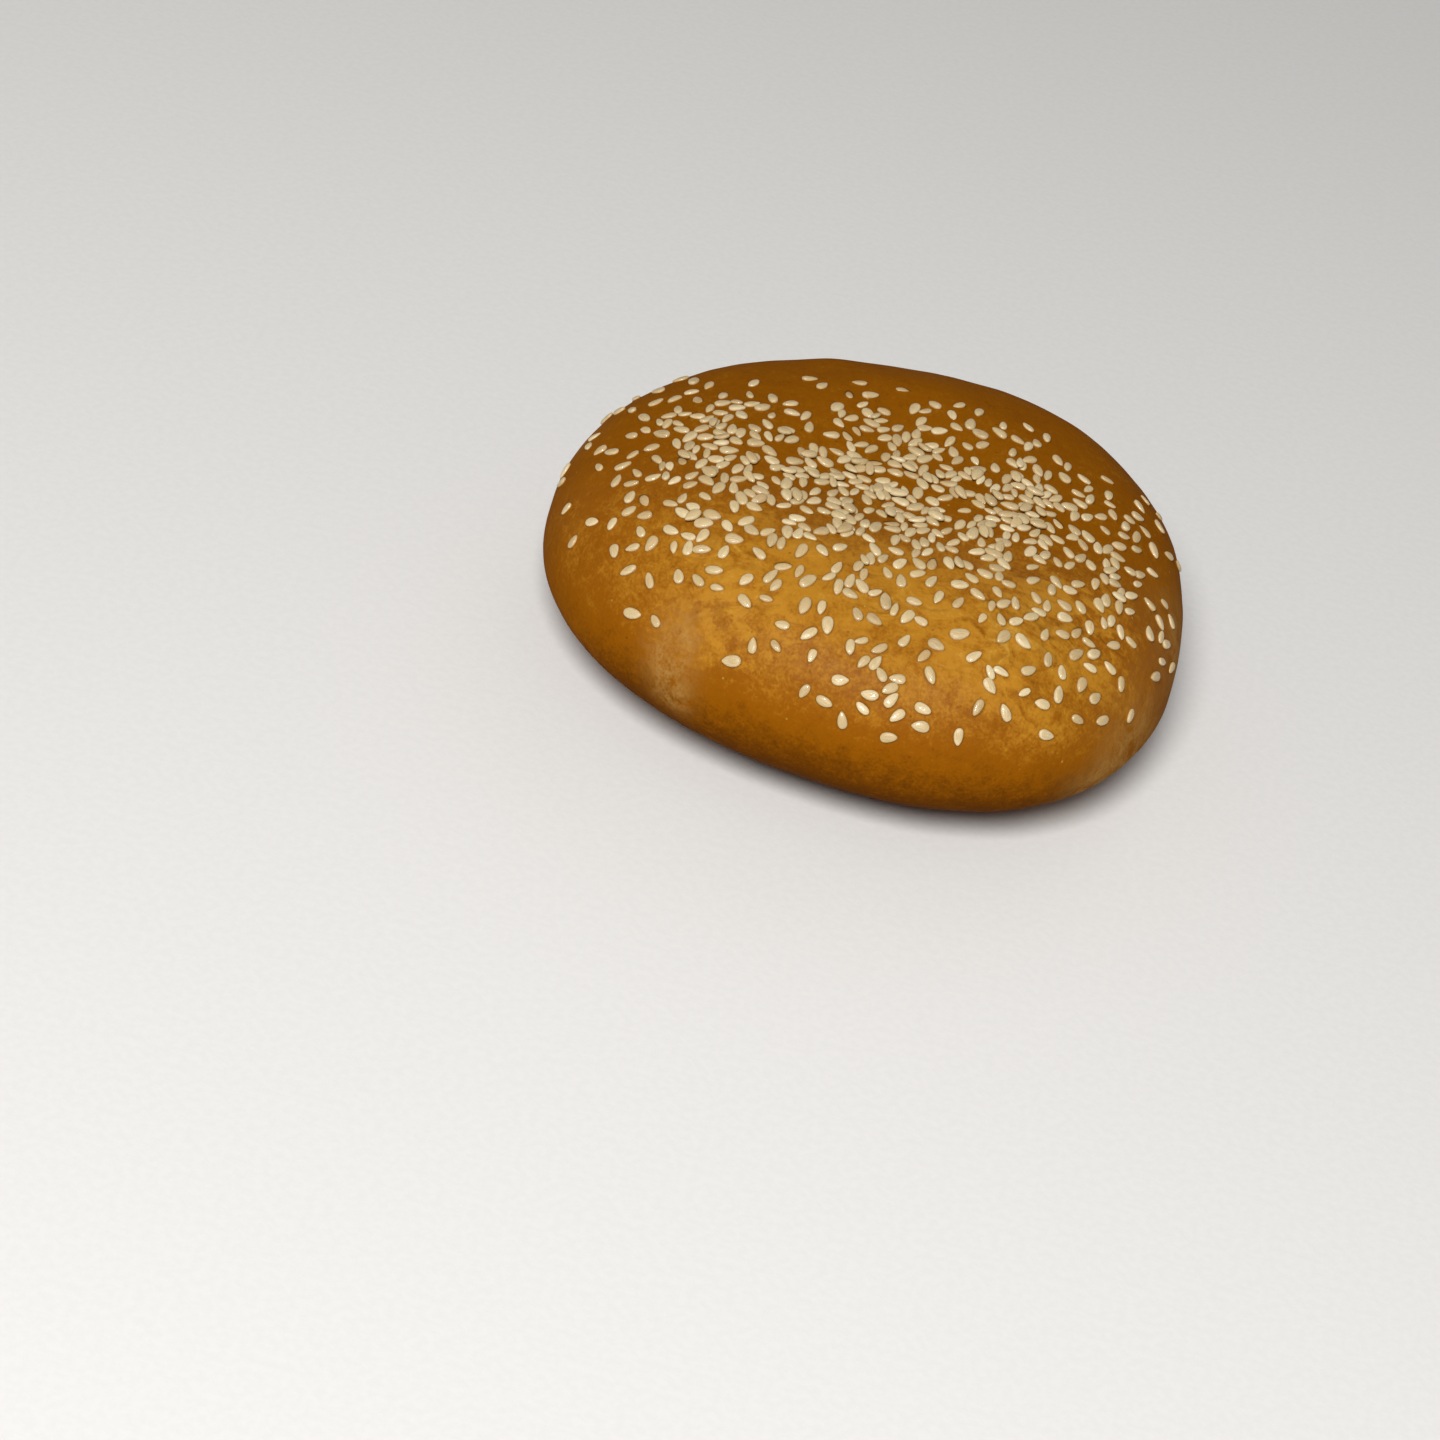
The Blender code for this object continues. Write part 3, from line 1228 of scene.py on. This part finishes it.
        # Powers below 1 fill out the faces and the ends.
        y = width * bulge**0.95 * narrowing * np.cos(around) * lump + bend * along**2
        level = np.sign(np.sin(around)) * np.abs(np.sin(around)) ** 0.65
        z = thickness * bulge**0.7 * (1.0 - 0.2 * along) * level * lump
        x = np.broadcast_to(0.5 * along, y.shape)
        rings = np.stack([x, y, z + curl * along**2], -1)
        ends = rings[[0, -1]].mean(axis=1)
        points = np.concatenate([ends[:1], rings[1:-1].reshape(-1, 3), ends[1:]])
        return points * seed.length * self.plumpness

    def contacts(
        self, seed: Seed, axes: Matrix, before: Sequence[Seed]
    ) -> list[tuple[float, float, float]]:
        """Find where a seed touches those that fell before it.

        Args:
            seed: The seed.
            axes: Its long way, side and normal, as rows.
            before: The seeds that fell before it.

        Returns:
            Each contact along and across the seed, and how high the other one reaches there.
        """
        found = []
        half_width = self.sprinkling.width_share * seed.length / 2.0
        # A contact lies in an ellipse that leaves room for the other seed's own width.
        longest, widest = seed.length / 2.0 + half_width * 0.6, half_width * 1.8
        for other in before:
            if (other.point - seed.point).length > self.sprinkling.near:
                continue
            for spot in self.sprinkling.spine(other):
                along, across, _ = axes @ (spot - seed.point)
                if (along / longest) ** 2 + (across / widest) ** 2 < 1.0:
                    found.append((along, across, other.length * self.rise_share))
        return found

    def rest(self, seed: Seed, before: Sequence[Seed], draw: random.Random) -> tuple[Matrix, Vector]:
        """Settle one seed on the crust or on the seeds below it.

        Args:
            seed: The seed.
            before: The seeds that fell before it.
            draw: The random draw.

        Returns:
            The seed's axes as columns, and its middle.
        """
        side = seed.normal.cross(seed.long_way)
        axes = Matrix((seed.long_way, side, seed.normal))
        rise = self.sunk_rise_share if seed.settling is Settling.SUNK else self.rise_share
        lift = (rise - self.thickness_share / 2.0) * seed.length
        lean = Vector([draw.gauss(0.0, spread) for spread in self.lean_spread])
        touching = self.contacts(seed, axes, before) if seed.settling is Settling.STACKED else []
        if touching:
            along, across, _ = (sum(values) / len(touching) for values in zip(*touching))
            top = max(contact[2] for contact in touching)
            half_length = seed.length / 2.0
            half_width = self.sprinkling.width_share * half_length
            # Propped at its middle a seed lies high and nearly level, and near an end it leans.
            share = math.hypot(along / half_length, across / half_width)
            tilt = 0.5 * max(0.25, min(1.0, share))
            lift += top * (1.0 - tilt)
            slope = top * tilt / max(share, 0.05)
            lean += Vector((slope * along / half_length**2, slope * across / half_width**2))
        steepest = math.tan(self.steepest_lean)
        if lean.length > steepest:
            lean *= steepest / lean.length
        long_way = (seed.long_way + seed.normal * lean.x).normalized()
        up = long_way.cross(side + seed.normal * lean.y).normalized()
        turn = Matrix((long_way, up.cross(long_way), up)).transposed()
        return turn, seed.point + seed.normal * lift

    def paint(
        self, seed: Seed, local: np.ndarray, placed: np.ndarray, draw: random.Random
    ) -> dict[SeedMap, np.ndarray]:
        """Paint one seed.

        Args:
            seed: The seed.
            local: Its points along its own axes.
            placed: Its points in place.
            draw: The random draw.

        Returns:
            The painted values.
        """
        above = (placed - np.array(seed.point)) @ np.array(seed.normal)
        upward = local[:, 2] / (0.5 * self.thickness_share * seed.length)
        foot = np.clip(1.0 - above / self.foot, 0.0, 1.0)
        # Painted shade: the seed's lower half is stained amber as if in shade.
        underside = np.clip((0.10 - upward) / 0.8, 0.0, 1.0)
        soaked = draw.uniform(*self.sunk_soaks) if seed.settling is Settling.SUNK else 0.0
        soaked = max(soaked, draw.choice(self.soaks))
        tip = np.clip((local[:, 0] / seed.length - 0.36) / 0.14, 0.0, 1.0)
        tip_browning = draw.uniform(*self.tip_browning)
        tone = min(self.palest_tone, max(0.0, draw.gauss(*self.tones)))
        shift = np.array([draw.random(), draw.random(), draw.random()])
        return {
            SeedMap.TONE: tone + self.edge_paling * (1.0 - np.clip(upward, 0.0, 1.0) ** 2),
            SeedMap.SOAK_AND_SHADE: np.maximum(np.maximum(foot, underside) * self.foot_stain_and_shade, soaked),
            SeedMap.TIP: tip * tip_browning,
            SeedMap.PLACE: local + shift,
        }

    def build(self) -> bpy.types.Object:
        """Build every seed as one mesh.

        Returns:
            The piece.
        """
        draw = random.Random(self.random_seed + 1)
        points, faces, painted = [], [], []
        count = self.rings * self.sectors + 2
        for number, seed in enumerate(self.seeds):
            local = self.shape(draw, seed)
            axes, middle = self.rest(seed, self.seeds[:number], draw)
            placed = local @ np.array(axes).T + np.array(middle)
            start = number * count
            faces += ring_faces(start + 1, self.rings, self.sectors)
            last, rim = start + count - 1, start + count - 1 - self.sectors
            for sector in range(self.sectors):
                after = (sector + 1) % self.sectors
                faces.append((start, start + 1 + sector, start + 1 + after))
                faces.append((last, rim + after, rim + sector))
            points.append(placed)
            painted.append(self.paint(seed, local, placed, draw))
        values = {kind: np.concatenate([one[kind] for one in painted]) for kind in SeedMap}
        return add_piece(
            "sesame_seeds", np.concatenate(points), faces, values, self.finish.material()
        )


@dataclass
class Crust:
    """The bun's crust, from the crown to the baked base, with the egg wash round the seeds.

    Attributes:
        form: The bun's form.
        topping: The seeds that it holds.
        finish: Its finish.
        cuts: The cuts across each face of the cage.
        base_edge: Points this close to the base plane lie on it.
        waves: The spacing and height of the skin's fine waves.
        wrinkled: The middle in plan and the radius of each wrinkled spot.
        least_wrinkled: How wrinkled the skin is elsewhere, from 0 to 1.
        wrinkle_height: How high the wrinkles stand.
        wrinkle_spacing: How far apart they are.
        wrinkle_stretch: The spacing across them, over that along their way and over that upwards.
        wrinkle_waver: How far they waver, over their spacing.
        dust_and_reflection_spots: The middle and radius of each pale spot: a floury dusting on the
            near left wall, and painted reflection of the floor low on the right and left walls.
        blister: The middle in plan, the half length and the half width of the smooth blister.
        blister_edge: Where its edge starts and ends, over its half sizes.
        blister_height: How high it stands.
        smooth_foot: Up to this height the relief fades in.
        folds: The folds of the skin.
        rim_sectors: The points round a seed's rim of wash.
        rim_profile: The rim's section: distance out from the seed's outline, height over the
            crust and how deep the pooled wash and the painted contact shade look.
        even_bake: How brown the crust is on the whole, from 0 to 1.
        painted_shoulder_highlight: How much paler the near shoulder is painted, a painted highlight
            for the light's sheen there.
        shoulder_line: The shoulder's middle along Y, and its spread.
        shoulder_heights: Between these heights the shoulder's painted highlight starts.
        shoulder_right: Between these places along X it ends on the right.
        shoulder_left: Between these it ends on the left, all but a part.
        shoulder_left_part: The part of it that goes on there.
        browner_back: How much browner the back is, and where that starts along Y.
        painted_foot_shade: How much browner the foot of the walls is painted, as painted shade, and
            the heights where that ends.
        painted_wall_shade: How much browner the lower near wall is painted, as painted shade.
        wall_side: Between these places along Y the near wall's painted shade starts.
        wall_heights: Between these heights it ends.
        paler_blister: How much paler the blister is.
        washed_heights: Between these heights the brushed wash starts.
        washed_side: Between these places along Y it starts to shine.
        crowded_glaze_and_shade: How deep the pooled wash and the painted shade between the crowded
            seeds of the crown look.
        crowded_heights: Between these heights that starts.
        surface: The built crust, which the seeds and rims are laid on.
        material: Its material.
    """

    form: BunForm
    topping: SeedTopping
    finish: EggWashedCrust
    cuts: int = 117
    base_edge: float = 0.00008
    waves: tuple[tuple[float, float], ...] = ((0.0080, 0.00012), (0.0032, 0.00005))
    wrinkled: tuple[tuple[float, float, float], ...] = (
        (0.022, -0.031, 0.011),
        (0.033, -0.020, 0.010),
        (0.002, -0.030, 0.008),
        (-0.015, -0.038, 0.005),
        (-0.020, -0.026, 0.008),
    )
    least_wrinkled: float = 0.06
    wrinkle_height: float = 0.00010
    wrinkle_spacing: float = 0.0042
    wrinkle_stretch: tuple[float, float] = (0.45, 0.6)
    wrinkle_waver: float = 0.4
    # The first three spots are a floury dusting; the rest are painted reflection of the floor.
    dust_and_reflection_spots: tuple[tuple[float, float, float, float], ...] = (
        (-0.0247, -0.0405, 0.0190, 0.0040),
        (-0.0242, -0.0385, 0.0230, 0.0036),
        (-0.0233, -0.0425, 0.0145, 0.0030),
        (0.0455, -0.0270, 0.0155, 0.0080),
        (-0.0495, 0.0060, 0.0170, 0.0060),
        (0.0400, -0.0330, 0.0100, 0.0060),
        (0.0500, -0.0060, 0.0190, 0.0090),
    )
    blister: tuple[float, float, float, float] = (-0.0095, -0.0250, 0.0044, 0.0022)
    blister_edge: tuple[float, float] = (0.55, 1.15)
    blister_height: float = 0.00022
    smooth_foot: float = 0.003
    folds: tuple[Fold, ...] = (
        Fold(((13.4, -31.3), (16.5, -30.4), (18.1, -31.5), (19.6, -32.3), (21.5, -31.7),
              (23.2, -31.9), (24.3, -33.5), (24.6, -35.3)), 0.9),
        Fold(((17.8, -25.5), (20.7, -26.7), (21.9, -28.5), (23.9, -28.5), (25.6, -27.1)), 0.8),
        Fold(((-4.9, -29.5), (-2.1, -30.3), (1.6, -29.8), (6.4, -29.6)), 0.9),
        Fold(((-5.7, -24.2), (-7.9, -23.0), (-11.1, -23.2), (-13.4, -24.7)), 0.7),
        Fold(((-17.6, -41.6), (-16.1, -41.1), (-13.4, -41.7), (-12.2, -42.7), (-14.4, -43.2)), 0.35),
        Fold(((26.8, -26.6), (29.2, -28.0), (30.5, -29.8), (30.8, -32.3)), 0.8),
        Fold(((31.4, -19.1), (33.7, -19.8), (35.2, -22.3), (35.3, -25.9)), 0.7),
        Fold(((20.9, -34.3), (21.9, -36.0), (22.0, -38.4)), 0.6),
    )
    rim_sectors: int = 22
    # Each rim's pooled wash is also painted contact shade round its seed.
    rim_profile: tuple[tuple[float, float, float], ...] = (
        (-0.00010, 0.00015, 0.55),
        (0.00004, 0.00006, 0.70),
        (0.00014, 0.00002, 0.35),
        (0.00034, 0.000004, 0.0),
    )
    even_bake: float = 0.62
    # Painted highlight on the near shoulder.
    painted_shoulder_highlight: float = 0.21
    shoulder_line: tuple[float, float] = (-0.031, 0.0145)
    shoulder_heights: tuple[float, float] = (0.013, 0.026)
    shoulder_right: tuple[float, float] = (0.050, 0.030)
    shoulder_left: tuple[float, float] = (-0.042, -0.012)
    shoulder_left_part: float = 0.4
    browner_back: tuple[float, float, float] = (0.02, 0.010, 0.030)
    # Painted shade at the foot of the walls.
    painted_foot_shade: tuple[float, float, float] = (0.22, 0.004, 0.020)
    # Painted shade on the lower near wall.
    painted_wall_shade: float = 0.20
    wall_side: tuple[float, float] = (-0.026, -0.042)
    wall_heights: tuple[float, float] = (0.012, 0.024)
    paler_blister: float = 0.10
    washed_heights: tuple[float, float] = (0.016, 0.030)
    washed_side: tuple[float, float] = (0.0, -0.022)
    # Pooled wash and painted shade between the crowded seeds.
    crowded_glaze_and_shade: float = 0.35
    crowded_heights: tuple[float, float] = (0.028, 0.034)
    surface: BVHTree = field(init=False)
    material: bpy.types.Material = field(init=False)

    def cage(self) -> bmesh.types.BMesh:
        """Round a cube's fine cage to the bun's form and cut it flat at the base.

        Returns:
            The cage.
        """
        form = bmesh.new()
        bmesh.ops.create_cube(form, size=2.0)
        bmesh.ops.subdivide_edges(form, edges=form.edges, cuts=self.cuts, use_grid_fill=True)
        for vertex in form.verts:
            even = Vector([math.tan(side * math.pi / 4.0) for side in vertex.co])
            vertex.co = self.form.point(even.normalized())
            if abs(vertex.co.z) < self.base_edge:
                vertex.co.z = 0.0
        whole = form.verts[:] + form.edges[:] + form.faces[:]
        bmesh.ops.bisect_plane(
            form, geom=whole, plane_co=(0, 0, 0), plane_no=(0, 0, 1), clear_inner=True
        )
        bmesh.ops.holes_fill(form, edges=[edge for edge in form.edges if edge.is_boundary])
        bmesh.ops.remove_doubles(form, verts=form.verts, dist=self.base_edge)
        bmesh.ops.recalc_face_normals(form, faces=form.faces)
        form.normal_update()
        return form

    def wrinkle(self, point: Vector) -> float:
        """Find how wrinkled the skin is.

        Args:
            point: The point.

        Returns:
            0 where it is smooth and 1 where it is most wrinkled.
        """
        strength = self.least_wrinkled
        for x, y, radius in self.wrinkled:
            away = math.hypot(point.x - x, point.y - y) / radius
            strength += math.exp(-away * away)
        return min(1.0, strength)

    def blistered(self, point: Vector) -> float:
        """Find how much of the blister stands here.

        Args:
            point: The point.

        Returns:
            1 on its top and 0 off it.
        """
        x, y, half_length, half_width = self.blister
        away = math.hypot((point.x - x) / half_length, (point.y - y) / half_width)
        return 1.0 - smooth_step(away, *self.blister_edge)

    def relief(self, point: Vector) -> float:
        """Find how far the skin's fine relief stands out.

        Args:
            point: The point.

        Returns:
            The height, which fades out at the base.
        """
        height = sum(rise * noise.noise(point / spacing) for spacing, rise in self.waves)
        turned = Matrix.Rotation(CREASE_HEADING, 2) @ point.xy
        along, up = self.wrinkle_stretch
        flow = Vector((along * turned.x, turned.y, up * point.z)) / self.wrinkle_spacing
        waver = Vector((self.wrinkle_waver,) * 3) * noise.noise(flow)
        ridge = 1.0 - 2.0 * abs(noise.noise(flow + waver))
        height += self.wrinkle_height * self.wrinkle(point) * (ridge - 0.5)
        height += self.blister_height * self.blistered(point)
        return height * smooth_step(point.z, 0.0, self.smooth_foot)

    def browning(self, point: Vector) -> float:
        """Find how brown the crust is, apart from its uneven patterns, with a painted highlight on
        the near shoulder and painted shade low on the walls.

        Args:
            point: The point.

        Returns:
            0 where it is palest and 1 where it is darkest.
        """
        # Painted highlight: the near shoulder is painted paler, standing in for the light's broad
        # sheen there.
        middle, spread = self.shoulder_line
        shoulder = math.exp(-(((point.y - middle) / spread) ** 2))
        shoulder *= smooth_step(point.z, *self.shoulder_heights)
        shoulder *= smooth_step(point.x, *self.shoulder_right)
        left = smooth_step(point.x, *self.shoulder_left)
        shoulder *= self.shoulder_left_part + (1.0 - self.shoulder_left_part) * left
        # Painted shade: the lower near wall is painted browner.
        wall = smooth_step(point.y, *self.wall_side)
        wall *= 1.0 - smooth_step(point.z, *self.wall_heights)
        back_amount, *back = self.browner_back
        foot_amount, *foot = self.painted_foot_shade
        bake_and_painted_light = self.even_bake - self.painted_shoulder_highlight * shoulder
        bake_and_painted_light += back_amount * smooth_step(point.y, *back)
        # Painted shade: browner towards the foot of the walls.
        bake_and_painted_light += foot_amount * (1.0 - smooth_step(point.z, *foot))
        return bake_and_painted_light + self.painted_wall_shade * wall - self.paler_blister * self.blistered(point)

    def paint(self, point: Vector, glaze_and_shade: float) -> dict[CrustMap, float]:
        """Find the painted values at one point.

        Args:
            point: The point.
            glaze_and_shade: How deep the pooled wash and the painted contact shade are there, from 0
                to 1.

        Returns:
            The values.
        """
        # Painted shade: between the crowded seeds of the crown the crust is painted amber, partly
        # pooled wash and partly the shade between the seeds.
        crowded = min(1.0, self.topping.sprinkling.density(point.x, point.y))
        crowded *= self.crowded_glaze_and_shade * smooth_step(point.z, *self.crowded_heights)
        wash = smooth_step(point.z, *self.washed_heights) * smooth_step(point.y, *self.washed_side)
        dust_and_reflection = 0.0
        # Pale spots: floury dusting, and painted reflection of the floor low on the side walls.
        for x, y, z, radius in self.dust_and_reflection_spots:
            away = (point - Vector((x, y, z))).length / radius
            dust_and_reflection += math.exp(-away * away)
        side, share = min((fold.nearest(point) for fold in self.folds), key=lambda near: abs(near[0]))
        return {
            CrustMap.BAKE: self.browning(point),
            CrustMap.WASH: wash,
            CrustMap.GLAZE_AND_SHADE: max(glaze_and_shade, crowded),
            CrustMap.WRINKLE: self.wrinkle(point),
            CrustMap.DUST_AND_REFLECTION: min(1.0, dust_and_reflection),
            CrustMap.FOLD_SIDE: side,
            CrustMap.FOLD_SHARE: share,
            CrustMap.BASE: 1.0 if point.z < self.base_edge else 0.0,
        }

    def build(self) -> bpy.types.Object:
        """Build the crust with its fine relief.

        Returns:
            The piece.
        """
        form = self.cage()
        for vertex in form.verts:
            if vertex.co.z > self.base_edge:
                vertex.co += vertex.normal * self.relief(vertex.co)
        points = np.array([vertex.co[:] for vertex in form.verts])
        faces = [tuple(vertex.index for vertex in face.verts) for face in form.faces]
        self.surface = BVHTree.FromBMesh(form)
        values = [self.paint(vertex.co, 0.0) for vertex in form.verts]
        form.free()
        painted = {kind: np.array([value[kind] for value in values]) for kind in CrustMap}
        self.material = self.finish.material()
        return add_piece("crust", points, faces, painted, self.material)

    def build_rims(self) -> bpy.types.Object:
        """Build the rims of pooled wash where the seeds sit in it, their amber also painted contact
        shade round each seed.

        Returns:
            The piece.
        """
        points, values, faces = [], [], []
        angles = [2.0 * math.pi * step / self.rim_sectors for step in range(self.rim_sectors)]
        width_share, taper = self.topping.sprinkling.width_share, self.topping.taper
        for seed in self.topping.seeds:
            if seed.settling is Settling.STACKED:
                continue
            side = seed.normal.cross(seed.long_way)
            faces += ring_faces(len(points), len(self.rim_profile), self.rim_sectors)
            half = 0.5 * seed.length * self.topping.plumpness
            for out, height, glaze_and_shade in self.rim_profile:
                for angle in angles:
                    narrowing = width_share * (1.0 - taper * math.cos(angle))
                    along = (half + out) * math.cos(angle)
                    across = (half * narrowing + out) * math.sin(angle)
                    spot = seed.point + seed.long_way * along + side * across
                    found, normal, _, _ = self.surface.find_nearest(spot)
                    points.append(found + normal * height)
                    values.append(self.paint(found, glaze_and_shade))
        painted = {kind: np.array([value[kind] for value in values]) for kind in CrustMap}
        return add_piece("egg_wash_and_shade_rims", np.array(points), faces, painted, self.material)


@dataclass(frozen=True)
class SoftLight:
    """One softbox.

    Attributes:
        name: Its name.
        azimuth: Its direction round the bun in degrees, 0 in front and positive to the right.
        elevation: Its height above the floor in degrees.
        distance: How far off it stands.
        size: Its diameter.
        watts: Its power.
    """

    name: str
    azimuth: float
    elevation: float
    distance: float
    size: float
    watts: float

    def build(self, target: Vector) -> bpy.types.Object:
        """Stand the light and aim it at the target.

        Args:
            target: What it lights.

        Returns:
            The light.
        """
        azimuth, elevation = math.radians(self.azimuth), math.radians(self.elevation)
        level = Vector((math.sin(azimuth), -math.cos(azimuth), 0.0)) * math.cos(elevation)
        towards = level + Vector((0.0, 0.0, math.sin(elevation)))
        lamp = bpy.data.lights.new(self.name, "AREA")
        lamp.shape = "DISK"
        lamp.size = self.size
        lamp.energy = self.watts
        light = bpy.data.objects.new(self.name, lamp)
        light.location = target + towards * self.distance
        light.rotation_euler = towards.to_track_quat("Z", "Y").to_euler()
        bpy.context.scene.collection.objects.link(light)
        return light


@dataclass
class Studio:
    """The floor, the lights and the camera.

    Attributes:
        form: The bun's form.
        floor_finish: The floor's finish.
        floor_width: The floor's width.
        lights: The softboxes.
        surround: The strength of the even light from all round.
        elevation: The camera's height above the horizon in degrees.
        roll: How far the bun is turned in the frame, in degrees.
        distance: The camera's distance.
        focal_px: The focal length in pixels of the square frame.
        frame_px: The frame's width in pixels.
        target_px: Where the bun's middle lies in the frame.
        sensor_mm: The sensor's width.
    """

    form: BunForm
    floor_finish: MattWhiteBoard = field(default_factory=MattWhiteBoard)
    floor_width: float = 8.0
    lights: tuple[SoftLight, ...] = (
        SoftLight("key_softbox", -8.0, 48.0, 1.1, 0.45, 14.5),
        SoftLight("back_fill", 165.0, 40.0, 1.3, 0.8, 0.8),
    )
    surround: float = 0.18
    elevation: float = 35.0
    roll: float = -14.4
    distance: float = 0.55
    focal_px: float = 3490.0
    frame_px: float = 1440.0
    target_px: tuple[float, float] = (879.7, 560.0)
    sensor_mm: float = 36.0

    def target(self) -> Vector:
        """Return the bun's middle, which the camera was measured to."""
        return Vector((-self.form.offset_x, -self.form.offset_y, self.form.height / 2.0))

    def build_camera(self) -> bpy.types.Object:
        """Stand the camera at the photograph's viewing angle.

        Returns:
            The camera.
        """
        elevation = math.radians(self.elevation)
        back = Vector((0.0, -math.cos(elevation), math.sin(elevation)))
        right = Vector((1.0, 0.0, 0.0))
        level = Matrix((right, back.cross(right), back))
        middle = self.frame_px / 2.0
        aside = Vector((self.target_px[0] - middle, middle - self.target_px[1], -self.focal_px))
        aim = Vector((0.0, 0.0, -1.0)).rotation_difference(aside).to_matrix()
        world_to_view = aim @ Matrix.Rotation(math.radians(self.roll), 3, "Z") @ level
        lens = bpy.data.cameras.new("camera")
        lens.sensor_fit = "HORIZONTAL"
        lens.sensor_width = self.sensor_mm
        lens.lens = self.focal_px / self.frame_px * self.sensor_mm
        lens.clip_start = 0.01
        lens.clip_end = 50.0
        camera = bpy.data.objects.new("camera", lens)
        turn = world_to_view.transposed().to_4x4()
        camera.matrix_world = Matrix.Translation(self.target() + back * self.distance) @ turn
        bpy.context.scene.collection.objects.link(camera)
        bpy.context.scene.camera = camera
        return camera

    def build_floor(self) -> bpy.types.Object:
        """Lay the floor under the bun.

        Returns:
            The floor.
        """
        form = bmesh.new()
        bmesh.ops.create_grid(form, x_segments=4, y_segments=4, size=self.floor_width / 2.0)
        mesh = bpy.data.meshes.new("floor")
        form.to_mesh(mesh)
        form.free()
        mesh.materials.append(self.floor_finish.material())
        floor = bpy.data.objects.new("floor", mesh)
        bpy.context.scene.collection.objects.link(floor)
        return floor

    def build_surround(self) -> bpy.types.World:
        """Light the scene evenly from all round, and show its tones as they are.

        Returns:
            The world.
        """
        world = bpy.data.worlds.new("soft_surround")
        world.use_nodes = True
        sky = world.node_tree.nodes["Background"]
        sky.inputs["Color"].default_value = linear("#ffffff")
        sky.inputs["Strength"].default_value = self.surround
        bpy.context.scene.world = world
        bpy.context.scene.view_settings.view_transform = "Standard"
        return world

    def build(self) -> None:
        """Build the whole studio."""
        self.build_floor()
        self.build_surround()
        for light in self.lights:
            light.build(self.target())
        self.build_camera()


def main() -> None:
    """Build the bun and its studio."""
    form = BunForm()
    topping = SeedTopping(Sprinkling(form), HulledSesame())
    crust = Crust(form, topping, EggWashedCrust())
    crust.build()
    topping.settle(crust.surface)
    crust.build_rims()
    topping.build()
    Studio(form).build()


if __name__ == "__main__":
    main()
